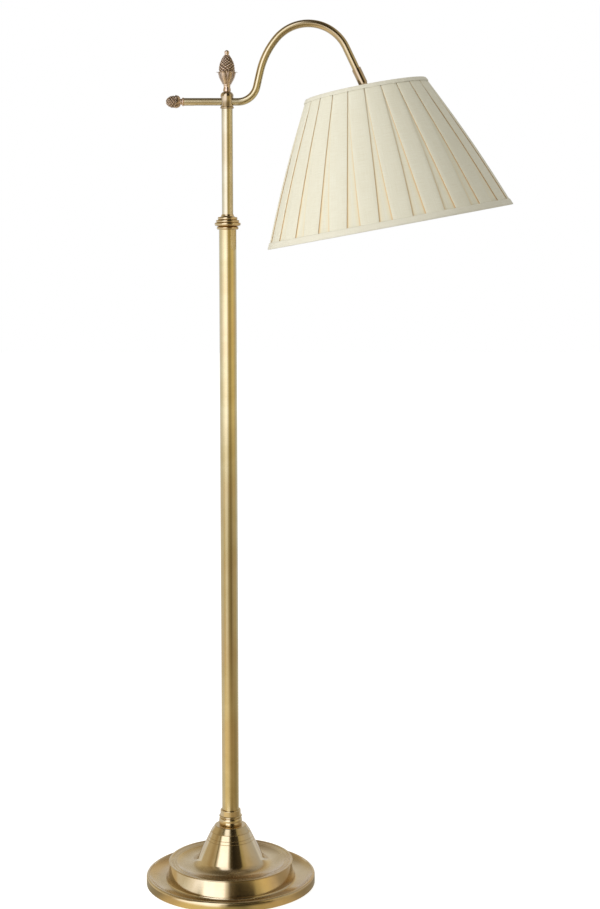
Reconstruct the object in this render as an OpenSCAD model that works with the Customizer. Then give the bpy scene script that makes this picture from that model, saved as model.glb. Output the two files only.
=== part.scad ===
// Adjustable floor lamp: a weighted round base, a telescoping column with a clamp collar, a swan-neck
// arm that slides and rolls in the head, and a box-pleated shade on a friction knuckle.
// Millimetres. The origin is the centre of the underside, on the floor. +Z is up, +X is towards the shade.

/* [Base] */
// Outer radius of the base
base_r = 140; // [130:1:160]
// Height of the rolled rim
rim_h = 16.5; // [11:0.5:18]
// Radius of the roll at the rim's top
rim_roll_r = 3.4; // [2.4:0.2:4]
// Gap between the rim's lower edge and the floor
rim_gap = 0.8; // [0.4:0.1:1.2]
// Thickness of the spun cover
cover_wall = 1.6; // [1.2:0.1:2]
// Lowest height of the outer dish
dish_h = 7.4; // [7:0.2:9]
// Outer radius of the bead on the raised ring
ring_r = 103; // [98:1:108]
// Height of the raised ring
ring_h = 38.4; // [34:0.2:42]
// Radius of the bead on the raised ring
ring_bead_r = 2.2; // [2.2:0.1:3]
// How far the ring's wall stands back behind its bead
ring_wall_back = 3.2; // [2.8:0.2:4.4]
// Radius of the curve from the outer dish to the ring's wall
cove_r = 10; // [3:0.5:12]
// Lowest height of the inner dish
inner_dish_h = 32.4; // [30:0.2:34]
// Radius of the curve from the inner dish to the cone
cone_foot_r = 20; // [8:1:22]
// Radius of the cone at its flat top
cone_top_r = 26.8; // [24:0.2:30]
// Height of the cone's flat top
cone_top_h = 98.6; // [90:0.2:110]
// Angle of the cone's side from upright
cone_angle = 25.6; // [22:0.2:28]
// Heights of the engraved lines below the cone's top
cone_lines = [10, 18.8, 23.6];
// Depth of an engraved line
line_depth = 0.4; // [0.2:0.1:0.6]
// Radius of the cast weight under the raised ring
weight_r = 96; // [80:1:96]
// Thickness of the felt
felt_h = 1.6; // [1:0.2:2]

/* [Column] */
// Outer diameter of the lower tube
lower_d = 28; // [26:0.2:30]
// Wall of the lower tube
lower_wall = 1.5; // [1.2:0.1:2]
// Height of the lower tube's top end
lower_top = 1080.4; // [900:0.2:1200]
// Outer diameter of the upper tube
upper_d = 18.2; // [17:0.2:19.4]
// Wall of the upper tube
upper_wall = 1.2; // [1:0.1:1.6]
// Travel of the upper tube above the rest pose
travel_up = 250; // [150:5:300]
// Length of the guide bush at the foot of the upper tube
guide_len = 40; // [20:1:60]
// Height of the head's underside
head_z = 1268.8; // [1262:0.2:1280]
// Radial gap of a running fit
run_fit = 0.05; // [0.02:0.01:0.1]
// Gap between pieces that pass without touching
pass_gap = 0.3; // [0.2:0.05:0.5]

/* [Collars] */
// Radius of the base collar at its lower ring
foot_collar_r = 19.2; // [18:0.1:21]
// Height of the base collar
foot_collar_h = 26.2; // [22:0.2:30]
// Radius of the ferrule's bead
ferrule_r = 17.6; // [17.2:0.1:19]
// Height of the ferrule's bead
ferrule_h = 5; // [4.4:0.1:5.6]
// Radii of the clamp cap's three rings from the lowest up
cap_rings = [21, 18.7, 15.9];
// Heights of the clamp cap's three rings from the lowest up
cap_ring_h = [4.8, 4.2, 4.7];
// Height of the clamp cap's neck
cap_neck_h = 4.2; // [3:0.1:6]
// Depth of the grooves between the clamp cap's rings
cap_groove = 1.3; // [0.8:0.1:2]
// Radius of the ferrule's thread
ferrule_thread_r = 14.9; // [14.6:0.1:15.4]
// Radial thickness of the grip bush
grip_wall = 3.3; // [3:0.05:3.4]

/* [Head] */
// Radius of the head
head_r = 10.4; // [10:0.1:12]
// Height of the head
head_h = 26.6; // [25:0.2:30]
// Height of the arm's axis above the head's underside
head_arm_up = 10.8; // [10.4:0.1:12]
// Length of the head's spigot in the upper tube
spigot_len = 16; // [10:1:24]
// Radius of the clamp screw's stud
stud_r = 3.95; // [3.4:0.05:4]

/* [Clamp finial] */
// Height of the finial's neck
neck_h = 11; // [9:0.1:14]
// Radius of the neck's waist
neck_r = 5.3; // [4.9:0.1:5.8]
// Height of the leaf cup
cup_h = 19.2; // [17:0.2:22]
// Radius of the leaf cup at its rim
cup_r = 12.7; // [11.6:0.1:14]
// How far the leaf tips flare past the cup
tip_flare = 2.8; // [1.5:0.1:4]
// Height of the scaled cone
cone_h = 27.6; // [24:0.2:32]
// Radius of the scaled cone at its widest
cone_r = 12.7; // [11:0.1:13.4]
// Depth of the carved scales
scale_depth = 0.9; // [0.5:0.1:1.3]
// Radius of the button on the tip
button_r = 3.9; // [3.4:0.1:4.6]

/* [Arm] */
// Outer diameter of the arm
arm_d = 12; // [11:0.2:12.6]
// Wall of the arm
arm_wall = 1.2; // [1:0.1:1.5]
// Length of the straight bar behind the column's axis
bar_back = 67.8; // [64:0.2:84]
// Length of the straight bar ahead of the column's axis
bar_ahead = 17; // [16.6:0.2:28]
// Radius of the lower bend
bend_r = 30.9; // [26:0.1:38]
// Angle of the lower bend
bend_angle = 76.9; // [70:0.1:84]
// Straight rise after the lower bend
rise_len = 23.7; // [10:0.1:36]
// Radius of the shoulder of the arch
shoulder_r = 122.4; // [96:0.1:150]
// Angle of the shoulder of the arch
shoulder_angle = 26.7; // [20:0.1:32]
// Radius of the crown of the arch
crown_r = 66.2; // [58:0.1:74]
// Angle of the crown of the arch
crown_angle = 114.2; // [108:0.1:122]
// Straight drop from the crown to the knuckle's pivot
drop_len = 69.4; // [64:0.1:88]
// Width of the cord slot under the bar
cord_slot_w = 5; // [4:0.5:6]
// How far the arm slides out of the head
slide_out = 48; // [38:1:50]
// How far the arm slides into the head
slide_in = 6; // [3:0.5:6.5]
// Radial thickness of the arm's bush
arm_bush_wall = 1.5; // [1:0.05:1.6]
// Length of the arm's bush
arm_bush_len = 16; // [12:1:16]
// Length of the carved finial at the bar's end
end_finial_len = 22.6; // [19:0.2:28]
// Radius of the carved finial at the bar's end
end_finial_r = 9.7; // [8.5:0.1:11.4]

/* [Knuckle] */
// Radius of the sleeve on the arm's end
sleeve_r = 7.4; // [7.1:0.1:8.4]
// Distance from the sleeve's top to the pivot
sleeve_len = 33; // [27:0.5:42]
// Radius of the fork's ears
ear_r = 6; // [5.4:0.1:6.8]
// Thickness of each ear
ear_t = 3.6; // [3:0.1:4]
// Thickness of the tang between the ears
tang_t = 4; // [3:0.1:4.4]
// Radius of the pivot screw
pivot_r = 2; // [1.5:0.05:2.4]

/* [Holder] */
// Distance from the pivot to the top of the lamp holder
holder_drop = 12; // [11:0.5:16]
// Length of the holder's cap
holder_cap_h = 26; // [22:0.5:30]
// Outer radius of the holder's cap
holder_cap_r = 18.6; // [18.2:0.1:21]
// Length of the holder's threaded skirt below the cap
skirt_h = 28; // [24:0.5:34]
// Outer radius of the holder's skirt
skirt_r = 18.9; // [18.4:0.1:20]
// Radius of the bulb's cap
bulb_cap_r = 13.2; // [13:0.1:13.4]
// Radius of the bulb's glass
bulb_r = 29; // [22:0.5:31]
// Thickness of the bulb's glass
glass_t = 0.8; // [0.5:0.1:1.2]
// Length of the bulb's glass
bulb_len = 82; // [70:1:88]
// Outer radius of the shade rings
shade_ring_r = 26; // [24:0.5:29]
// Thickness of each shade ring
shade_ring_t = 3.5; // [3:0.1:5]

/* [Shade] */
// Angle of the shade's axis from upright at rest
shade_tilt = 10.5; // [0:0.1:20]
// Distance from the pivot to the shade's top edge
shade_drop = 2.5; // [2:0.5:7]
// Radius of the pleated cover at the top edge
shade_top_r = 96; // [88:1:118]
// Radius of the pleated cover at the bottom edge
shade_bottom_r = 197; // [172:0.2:214]
// Height of the shade along its axis
shade_h = 219; // [190:1:244]
// How far the cover's sides swell between the rings
shade_swell = 3.5; // [0:0.25:4.5]
// Number of box pleats
pleats = 24; // [16:1:24]
// Share of the pitch that a pleat covers at the top
pleat_top_share = 0.96; // [0.8:0.01:0.97]
// Share of the pitch that a pleat covers at the bottom
pleat_bottom_share = 0.58; // [0.45:0.01:0.7]
// How far a pleat stands above the cloth between two pleats
pleat_depth = 1.8; // [1:0.1:2.4]
// Thickness of the cover's cloth
cloth_t = 1; // [0.6:0.1:1.2]
// Thickness of the lining
lining_t = 1; // [0.8:0.1:1.4]
// Radius of the frame's ring wire
ring_wire_r = 1.4; // [1:0.1:1.5]
// Radius of the frame's strut wire
strut_wire_r = 1.3; // [0.9:0.1:1.4]
// Number of the frame's struts
struts = 6; // [4:1:8]
// Radius of the spider's wire
spider_wire_r = 1.5; // [1.2:0.1:1.8]
// Number of the spider's arms
spider_arms = 3; // [3:1:4]
// Width of the binding tape on the top edge
top_trim_w = 5.5; // [4:0.5:10]
// Width of the binding tape on the bottom edge
trim_w = 9.5; // [6:0.5:11]
// Thickness of the binding tape
trim_t = 1; // [0.6:0.1:1.2]

/* [Cord inlet] */
// Radius of the grommet's bore
inlet_r = 3.3; // [2.5:0.1:3.4]
// Height of the inlet's axis
inlet_z = 6.2; // [5.8:0.1:6.4]

/* [Hidden] */
$fn = 96;

brass = [0.76, 0.62, 0.36];
bronze = [0.56, 0.42, 0.30];
steel = [0.70, 0.70, 0.72];
iron = [0.25, 0.25, 0.26];
cream = [0.90, 0.88, 0.79];
nylon = [0.85, 0.84, 0.80];
black = [0.08, 0.08, 0.08];

// Base
nipple_r = 4.95;
nipple_bore_r = 3.5;
nipple_hole_r = nipple_r + 0.45;
nipple_bottom = felt_h + 0.6;
nut_h = 5;
nut_r = 9.8;
washer_h = 1.6;
washer_r = 14;
recess_top = nipple_bottom + 0.2 + nut_h + washer_h;
recess_r = washer_r + 3;
weight_flange_top = dish_h - cover_wall - pass_gap;
weight_flange_r = base_r - cover_wall - pass_gap;
weight_top = inner_dish_h - cover_wall - pass_gap;
ring_wall_r = ring_r - ring_wall_back;
shoulder_round = 2.2;
rim_edge_r = base_r - rim_roll_r - 1.6;
dish_mid_r = ring_wall_r + 14;

// Grommet
grommet_r = inlet_r + 1.2;
grommet_flange_r = min(inlet_z - rim_gap, grommet_r + 0.7);
grommet_flange_t = 1.2;
grommet_back = 3.2;
channel_w = 2 * grommet_r + 1;
channel_top = inlet_z + grommet_r + 0.4;

// Column
lower_r = lower_d / 2;
lower_bore_r = lower_r - lower_wall;
lower_bottom = cone_top_h + 2;
plug_h = 15;
nipple_top = lower_bottom + plug_h - 2;
upper_r = upper_d / 2;
upper_bore_r = upper_r - upper_wall;
foot_collar_bore_r = lower_r + run_fit;

// Ferrule, clamp cap and bushes
ledge_h = 1.5;
ferrule_bottom = lower_top - 1.4;
ferrule_bead_z = ferrule_bottom + ferrule_h / 2;
grip_bottom = lower_top + ledge_h;
grip_out_r = upper_r + run_fit + grip_wall;
grip_h = 11.7;
cap_bottom = ferrule_bottom + ferrule_h + pass_gap;
cap_cavity_top = grip_bottom + grip_h + 0.4;
ferrule_top = cap_cavity_top - 1.6;
cap_ring_z0 = cap_bottom + 1.1;
guide_top = lower_top - travel_up - 2;
guide_bottom = guide_top - guide_len;

// Head and arm
arm_r = arm_d / 2;
arm_bore_r = arm_r - arm_wall;
arm_z = head_z + head_arm_up;
arm_bush_out_r = arm_r + run_fit + arm_bush_wall;
head_bore_r = arm_bush_out_r + run_fit;
head_top = head_z + head_h;
head_cord_r = 3.2;

// Clamp finial
neck_base = head_top + pass_gap;
cup_base = neck_base + neck_h;
tips_z = cup_base + cup_h;
cone_tip = tips_z + cone_h;

// Steps along the arm: a length with angle 0, or a bend's radius with its angle, positive upwards
bar_step = [bar_back + bar_ahead, 0];
arch_steps = [[bend_r, bend_angle], [rise_len, 0], [shoulder_r, -shoulder_angle], [crown_r, -crown_angle]];

function heading(a) = [cos(a), sin(a)];
function left_of(a) = [-sin(a), cos(a)];

// Where a walk along the steps ends, as [point, heading] in the XZ plane
function walk(steps, p, a, i = 0) =
    i == len(steps) ? [p, a] :
    let (size = steps[i][0], turn = steps[i][1], side = sign(turn) * size)
    turn == 0 ? walk(steps, p + size * heading(a), a, i + 1) :
    walk(steps, p + side * (left_of(a) - left_of(a + turn)), a + turn, i + 1);

arch_end = walk(arch_steps, [bar_ahead, arm_z], 0);
drop_heading = arch_end[1];
pivot = arch_end[0] + drop_len * heading(drop_heading);
sleeve_tilt = 90 + drop_heading;

// Knuckle
web_h = 3;
slot_depth = ear_r + 1.2;
tube_stop = slot_depth + web_h;
slot_half = tang_t / 2 + pass_gap;
ear_out = slot_half + ear_t;
stem_r = 4.95;
stem_len = 20;

// Holder, distances down the shade's axis from the pivot
cap_wall = 1.5;
cap_end = holder_drop + holder_cap_h;
skirt_end = cap_end + skirt_h;
thread_out_r = holder_cap_r - cap_wall - run_fit;
thread_in_r = thread_out_r - cap_wall;
insert_bore_r = bulb_cap_r + 0.6;
insert_r = thread_in_r - 0.1;
insert_top = cap_end - 12;
insert_bottom = cap_end - 3;
ring_hang = cap_end + 10;
fitting_t = 2;
ring_bore_r = skirt_r + run_fit;
bulb_cap_top = insert_bottom + 3;
bulb_cap_len = skirt_end - bulb_cap_top + 1;

// Shade, radii at a height s below its top edge
inner_back = pleat_depth + cloth_t;
lining_gap = 2 * ring_wire_r + 0.6;
wire_back = inner_back + lining_gap / 2;
lining_back = inner_back + lining_gap;
ring_inset = 4.5;
lining_top = ring_inset + spider_wire_r + 1.4;
wall_angle = atan((shade_bottom_r - shade_top_r) / shade_h);
function wall_r(s) = shade_top_r + (shade_bottom_r - shade_top_r) * s / shade_h;
function cover_r(s) = wall_r(s) + shade_swell * sin(180 * min(max(s, 0), shade_h) / shade_h);

// Points on an arc about (cx, cz)
function arc(cx, cz, r, from, to, n) =
    [for (i = [0:n]) let (a = from + (to - from) * i / n) [cx + r * cos(a), cz + r * sin(a)]];

function reversed(list) = [for (i = [len(list) - 1:-1:0]) list[i]];

function unit(v) = norm(v) > 0 ? v / norm(v) : v;

// A profile set back by d behind an outline that runs up and inwards
function set_back(pts, d) =
    let (last = len(pts) - 1)
    [for (i = [0:last])
        let (
            p = pts[i],
            along = unit(unit(p - pts[max(i - 1, 0)]) + unit(pts[min(i + 1, last)] - p))
        )
        [p[0] - along[1] * d, p[1] + along[0] * d]];

// A bead that stands out by deep on a turned outline, from its lower edge to its upper edge
function low_bead(r, low, h, deep, n = 10) =
    [for (a = [-90:180 / n:90]) [r - deep + deep * cos(a), low + (1 + sin(a)) * h / 2]];

// The same, half round
function bead(r, low, h, n = 10) = low_bead(r, low, h, h / 2, n);

// Faces of a grid of rings, n points each, closed by a point at both ends
function capped_faces(rings, n) =
    let (low = rings * n, high = rings * n + 1)
    concat(
        [for (j = [0:n - 1]) [low, j, (j + 1) % n]],
        [for (k = [0:rings - 2], j = [0:n - 1])
            let (a = k * n + j, b = k * n + (j + 1) % n, c = a + n, d = b + n)
            (j + k) % 2 == 0 ? [a, c, b] : [a, c, d]],
        [for (k = [0:rings - 2], j = [0:n - 1])
            let (a = k * n + j, b = k * n + (j + 1) % n, c = a + n, d = b + n)
            (j + k) % 2 == 0 ? [b, c, d] : [a, d, b]],
        [for (j = [0:n - 1]) [high, (rings - 1) * n + (j + 1) % n, (rings - 1) * n + j]]
    );

module turned(points) { rotate_extrude() polygon(points); }

// A plain ring or tube standing on z
module ring(r_out, r_in, z, h) {
    turned([[r_in, z], [r_out, z], [r_out, z + h], [r_in, z + h]]);
}

// Height of the outer dish at radius r
function dish_z(r) = dish_h + (rim_h - 1 - dish_h) * pow((r - dish_mid_r) / (rim_edge_r - dish_mid_r), 2);

cone_run = tan(cone_angle);
function cone_side(z) = cone_top_r + shoulder_round * 0.4 + cone_run * (cone_top_h - z);
cone_foot_z = inner_dish_h + cone_foot_r * (1 - sin(cone_angle));
dish_low_r = cone_side(cone_foot_z) + cone_foot_r * cos(cone_angle);
ring_inner_r = ring_r - 14;
ring_inner_z = ring_h - 2.2;
inner_dish_rise = ring_inner_z - inner_dish_h;
inner_dish_run = ring_inner_r - dish_low_r;
inner_dish_r = (pow(inner_dish_run, 2) + pow(inner_dish_rise, 2)) / (2 * inner_dish_rise);
inner_dish_angle = asin(inner_dish_run / inner_dish_r);

// The cover's outer outline, from the rim's lower edge up and in to the cone's flat top. roll_end is
// the angle at which the rim's roll ends, and dish_from the radius at which the dish starts.
function cover_rim(roll_end, dish_from) = concat(
    [[base_r, rim_gap]],
    arc(base_r - rim_roll_r, rim_h - rim_roll_r, rim_roll_r, 0, roll_end, 9),
    [for (i = [0:8]) let (r = dish_from + (ring_wall_r + cove_r - dish_from) * i / 8) [r, dish_z(r)]],
    arc(ring_wall_r + cove_r, dish_z(ring_wall_r + cove_r) + cove_r, cove_r, 258, 180, 7),
    let (a = -acos(-(ring_wall_back - ring_bead_r) / ring_bead_r))
    arc(ring_r - ring_bead_r, ring_h - ring_bead_r, ring_bead_r, a, 112, 12)
);

function ring_steps() = [
    [ring_r - 5.2, ring_h - 0.9], [ring_r - 7.4, ring_h - 1.1], [ring_r - 7.6, ring_h - 1.5],
    [ring_r - 10.4, ring_h - 1.6], [ring_r - 10.6, ring_h - 2]
];

function cover_inner_dish() = concat(
    arc(dish_low_r, inner_dish_h + inner_dish_r, inner_dish_r, 270 + inner_dish_angle, 270, 7),
    arc(dish_low_r, inner_dish_h + cone_foot_r, cone_foot_r, 264, 180 + cone_angle, 9)
);

function cover_lines() = [
    for (down = reversed(cone_lines), part = [-1, 0, 1])
        let (z = cone_top_h - down + part * line_depth)
        [cone_side(z) - (part == 0 ? line_depth : 0), z]
];

function cover_shoulder() = concat(
    arc(cone_top_r - shoulder_round, cone_top_h - shoulder_round, shoulder_round, cone_angle, 90, 6),
    [[nipple_hole_r, cone_top_h]]
);

module base_cover() {
    outer = concat(cover_rim(112, rim_edge_r), ring_steps(), cover_inner_dish(), cover_lines(), cover_shoulder());
    plain = concat(cover_rim(100, rim_edge_r - 3), cover_inner_dish(), cover_shoulder());
    color(brass)
    difference() {
        turned(concat(outer, reversed(set_back(plain, cover_wall))));
        translate([0, base_r, inlet_z]) rotate([90, 0, 0])
            cylinder(r = grommet_r + run_fit, h = 4 * cover_wall, center = true);
    }
}

module cord_grommet() {
    color(black)
    translate([0, base_r - grommet_back, inlet_z]) rotate([-90, 0, 0])
    turned([
        [inlet_r, 0], [grommet_r, 0], [grommet_r, grommet_back + run_fit],
        [grommet_flange_r, grommet_back + run_fit],
        [grommet_flange_r, grommet_back + grommet_flange_t], [inlet_r, grommet_back + grommet_flange_t]
    ]);
}

module base_felt() {
    color(black) cylinder(r = weight_flange_r - 0.4, h = felt_h);
}

module base_weight() {
    color(iron)
    difference() {
        turned([
            [nipple_hole_r, recess_top], [recess_r, recess_top], [recess_r, felt_h],
            [weight_flange_r, felt_h], [weight_flange_r, weight_flange_top],
            [ring_wall_r - 1, weight_flange_top], [weight_r, weight_flange_top + 2],
            [weight_r, weight_top], [nipple_hole_r, weight_top]
        ]);
        translate([-channel_w / 2, recess_r - 4, felt_h - 1])
            cube([channel_w, base_r, channel_top - felt_h + 1]);
    }
}

module base_washer() {
    color(steel) ring(washer_r, nipple_r + run_fit, recess_top - washer_h, washer_h);
}

module base_nut() {
    color(steel)
    translate([0, 0, recess_top - washer_h - nut_h])
    difference() {
        cylinder(r = nut_r, h = nut_h, $fn = 6);
        translate([0, 0, -1]) cylinder(r = nipple_r + run_fit, h = nut_h + 2);
    }
}

module base_nipple() {
    color(steel) ring(nipple_r, nipple_bore_r, nipple_bottom, nipple_top - nipple_bottom);
}

module base_collar() {
    groove = cone_top_h + 12.6;
    top = cone_top_h + foot_collar_h;
    color(brass)
    turned(concat(
        [[nipple_hole_r, cone_top_h]],
        low_bead(foot_collar_r, cone_top_h, groove - cone_top_h, 1.7, 12),
        [[foot_collar_r - 1.7, groove + 1]],
        bead(foot_collar_r - 0.2, groove + 1, 3.2, 8),
        [[foot_collar_r - 1.8, groove + 4.4], [foot_collar_r - 2.1, groove + 7]],
        arc(foot_collar_r - 3.6, top - 1.2, 1.2, 0, 90, 5),
        [[foot_collar_bore_r, top], [foot_collar_bore_r, lower_bottom], [nipple_hole_r, lower_bottom]]
    ));
}

module column_plug() {
    color(brass) ring(lower_bore_r - run_fit, nipple_r + run_fit, lower_bottom, plug_h);
}

module lower_tube() {
    color(brass) ring(lower_r, lower_bore_r, lower_bottom, lower_top - lower_bottom);
}

module collar_ferrule() {
    pass_r = upper_r + pass_gap;
    color(brass)
    turned(concat(
        [[lower_r + run_fit, ferrule_bottom]],
        bead(ferrule_r, ferrule_bottom, ferrule_h),
        [[ferrule_thread_r, ferrule_bottom + ferrule_h], [ferrule_thread_r, ferrule_top]],
        [[grip_out_r + run_fit, ferrule_top], [grip_out_r + run_fit, grip_bottom]],
        [[pass_r, grip_bottom], [pass_r, lower_top], [lower_r + run_fit, lower_top]]
    ));
}

module collar_cap() {
    low = [cap_ring_z0, cap_ring_z0 + cap_ring_h[0], cap_ring_z0 + cap_ring_h[0] + cap_ring_h[1]];
    rings_top = low[2] + cap_ring_h[2];
    pass_r = upper_r + pass_gap;
    thread_r = ferrule_thread_r + run_fit;
    color(brass)
    turned(concat(
        [[thread_r, cap_bottom], [cap_rings[0] - 3.4, cap_bottom]],
        low_bead(cap_rings[0], low[0], cap_ring_h[0], cap_groove),
        low_bead(cap_rings[1], low[1], cap_ring_h[1], cap_groove),
        low_bead(cap_rings[2], low[2], cap_ring_h[2], cap_groove),
        arc(pass_r + 4.2, rings_top + cap_neck_h - 0.4, cap_neck_h - 0.4, 250, 180, 6),
        [[pass_r, rings_top + cap_neck_h], [pass_r, cap_cavity_top], [thread_r, cap_cavity_top]]
    ));
}

module grip_bush() {
    color(nylon) ring(grip_out_r, upper_r + run_fit, grip_bottom, grip_h);
}

module upper_tube() {
    color(brass) ring(upper_r, upper_bore_r, guide_bottom, head_z - guide_bottom);
}

module guide_bush() {
    color(nylon) ring(lower_bore_r - run_fit, upper_r, guide_bottom, guide_len);
}

module head_block() {
    bead_h = 3.2;
    dome = 6.6;
    color(brass)
    difference() {
        turned(concat(
            [[head_cord_r, head_z - spigot_len], [upper_bore_r - run_fit, head_z - spigot_len]],
            [[upper_bore_r - run_fit, head_z], [head_r - 0.4, head_z]],
            arc(head_r - 0.9, head_z + bead_h / 2, bead_h / 2, -70, 70, 8),
            [[head_r, head_z + bead_h + 0.4]],
            arc(head_r - dome, head_top - dome, dome, 0, 72, 9),
            [[head_r - dome + 1.4, head_top], [stud_r + run_fit, head_top]],
            [[stud_r + run_fit, arm_z], [head_cord_r, arm_z]]
        ));
        translate([0, 0, arm_z]) rotate([0, 90, 0])
            cylinder(r = head_bore_r, h = 4 * head_r, center = true);
    }
}

module arm_bush() {
    color(nylon)
    difference() {
        translate([0, 0, arm_z]) rotate([0, 90, 0]) difference() {
            cylinder(r = arm_bush_out_r, h = arm_bush_len, center = true);
            cylinder(r = arm_r + run_fit, h = arm_bush_len + 2, center = true);
        }
        translate([0, 0, arm_z - head_bore_r - 1]) cylinder(r = head_cord_r, h = head_bore_r);
    }
}

// Rings of the clamp finial: height above the cup's base, radius and kind, where kind 0 is round,
// 1 is leaf lobes, 2 is leaf tips and 3 is scales
scale_rows = 12;
function cone_profile(t) = cone_r * max(1 - pow(t, 2.2), 0) + button_r * 0.55 * t;
finial_rings = concat(
    [[0, neck_r, 0], [cup_h * 0.22, neck_r + (cup_r - neck_r) * 0.3, 1]],
    [[cup_h * 0.5, neck_r + (cup_r - neck_r) * 0.68, 1], [cup_h * 0.78, neck_r + (cup_r - neck_r) * 0.93, 1]],
    [[cup_h, cup_r, 2], [cup_h + 0.3, cone_r - 0.4, 0]],
    [for (i = [0:scale_rows])
        let (t = i / scale_rows) [cup_h + 0.8 + (cone_h - 1.6) * t, cone_profile(t * 0.97), 3]]
);

// Radius of a carved ring at step j of n round the axis
function carved_r(row, k, j, n) =
    let (lobe = cos(360 * 6 * j / n))
    row[2] == 1 ? row[1] * (1 + 0.05 * lobe) :
    row[2] == 2 ? row[1] + tip_flare * max(lobe, 0) - 0.6 * max(-lobe, 0) :
    row[2] == 3 ? row[1] + scale_depth * ((j + k) % 2 == 0 ? -0.5 : 0.5) * min(row[1] / 6, 1) : row[1];

module carved(rows, base, top) {
    n = 24;
    last = len(rows) - 1;
    points = concat(
        [for (k = [0:last], j = [0:n - 1])
            let (r = carved_r(rows[k], k, j, n), a = 360 * j / n)
            [r * cos(a), r * sin(a), base + rows[k][0]]],
        [[0, 0, base + rows[0][0] - 0.5], [0, 0, top]]
    );
    polyhedron(points = points, faces = capped_faces(len(rows), n), convexity = 6);
}

module clamp_finial() {
    button_z = cone_tip + button_r * 0.62;
    color(bronze)
    union() {
        turned(concat(
            [[0, arm_z + arm_bush_out_r + pass_gap], [stud_r, arm_z + arm_bush_out_r + pass_gap]],
            [[stud_r, neck_base], [neck_r + 1, neck_base], [neck_r + 1.1, neck_base + 0.8]],
            arc(neck_r + 5.4, neck_base + neck_h * 0.62, 5.4, 205, 155, 8),
            [[neck_r, cup_base + 1], [neck_r - 1, tips_z], [button_r - 1.2, cone_tip - 4]],
            [[button_r - 0.4, cone_tip - 1], [button_r - 0.7, cone_tip]],
            arc(0, button_z, button_r, -20, 90, 8)
        ));
        carved(finial_rings, cup_base, cone_tip);
    }
}

module pipe_section() {
    difference() {
        circle(r = arm_r, $fn = 48);
        circle(r = arm_bore_r, $fn = 48);
    }
}

// A short ring inside the pipe's wall, across the seam between two steps
module pipe_seam() {
    rotate([0, 90, 0]) ring(arm_r - 0.3, arm_bore_r + 0.3, -0.5, 1);
}

// A pipe along the steps from here on, each step placed from the end of the one before it
module pipe(steps, i = 0) {
    size = steps[i][0];
    turn = steps[i][1];
    side = turn < 0 ? -1 : 1;
    if (i > 0) pipe_seam();
    if (turn == 0) {
        rotate([0, 90, 0]) linear_extrude(height = size) pipe_section();
        if (i + 1 < len(steps)) translate([size, 0, 0]) pipe(steps, i + 1);
    } else {
        translate([0, 0, side * size]) {
            rotate([90, 0, 0]) rotate([0, 0, turn < 0 ? 90 + turn : 270])
                rotate_extrude(angle = abs(turn)) translate([size, 0]) pipe_section();
            if (i + 1 < len(steps))
                rotate([0, -turn, 0]) translate([0, 0, -side * size]) pipe(steps, i + 1);
        }
    }
}

module arm_tube() {
    slot_back = -slide_out - head_cord_r - 1;
    slot_ahead = slide_in + head_cord_r + 1;
    color(brass)
    difference() {
        translate([-bar_back, 0, arm_z])
            pipe(concat([bar_step], arch_steps, [[drop_len - tube_stop, 0]]));
        translate([slot_back, -cord_slot_w / 2, arm_z - arm_r - 1])
            cube([slot_ahead - slot_back, cord_slot_w, arm_r]);
    }
}

// Rings of the carved finial at the bar's end
end_rows = 10;
function end_profile(t) = end_finial_r * sqrt(max(sin(180 * (0.13 + 0.84 * pow(t, 1.15))), 0));
end_rings = [
    for (i = [0:end_rows])
        let (t = i / end_rows) [end_finial_len * t * 0.98, end_profile(t), i == 0 ? 0 : 3]
];

module arm_end_finial() {
    flange_t = 3.4;
    collar_t = 3.6;
    color(bronze)
    translate([-bar_back, 0, arm_z]) rotate([0, -90, 0])
    union() {
        turned(concat(
            [[0, -10], [arm_bore_r - run_fit, -10], [arm_bore_r - run_fit, 0], [arm_r + 0.4, 0]],
            [[arm_r + 0.7, 1], [arm_r + 0.7, flange_t - 1], [arm_r - 0.2, flange_t]],
            [[arm_r - 0.5, flange_t + collar_t], [arm_r - 1, flange_t + collar_t + 2]],
            [[0, flange_t + collar_t + 8]]
        ));
        carved(end_rings, flange_t + collar_t - 1, flange_t + collar_t - 1 + end_finial_len);
    }
}

// Places a piece whose axis runs down from the knuckle's pivot
module from_pivot(tilt) {
    translate([pivot[0], 0, pivot[1]]) rotate([0, -tilt, 0]) children();
}

module arm_sleeve() {
    color(brass)
    from_pivot(sleeve_tilt)
    difference() {
        union() {
            ring(sleeve_r, arm_r, tube_stop, sleeve_len - tube_stop);
            cylinder_between(sleeve_r, slot_depth, tube_stop);
            intersection() {
                cylinder(r = sleeve_r, h = slot_depth);
                translate([-ear_r, -ear_out, 0]) cube([2 * ear_r, 2 * ear_out, slot_depth]);
            }
            rotate([90, 0, 0]) cylinder(r = ear_r, h = 2 * ear_out, center = true);
        }
        translate([-2 * ear_r, -slot_half, -2 * ear_r]) cube([4 * ear_r, 2 * slot_half, 2 * ear_r + slot_depth]);
        rotate([90, 0, 0]) cylinder(r = pivot_r, h = 3 * ear_out, center = true);
        cylinder(r = head_cord_r - 0.6, h = tube_stop + 1);
    }
}

module cylinder_between(r, low, high) {
    translate([0, 0, low]) cylinder(r = r, h = high - low);
}

module knuckle_screw() {
    head_t = 2.2;
    color(brass)
    from_pivot(sleeve_tilt) rotate([90, 0, 0])
    turned([
        [0, -ear_out - 2.6], [pivot_r, -ear_out - 2.6], [pivot_r, ear_out],
        [2 * pivot_r, ear_out], [2 * pivot_r, ear_out + head_t - 0.6],
        [2 * pivot_r - 0.8, ear_out + head_t], [0, ear_out + head_t]
    ]);
}

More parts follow.
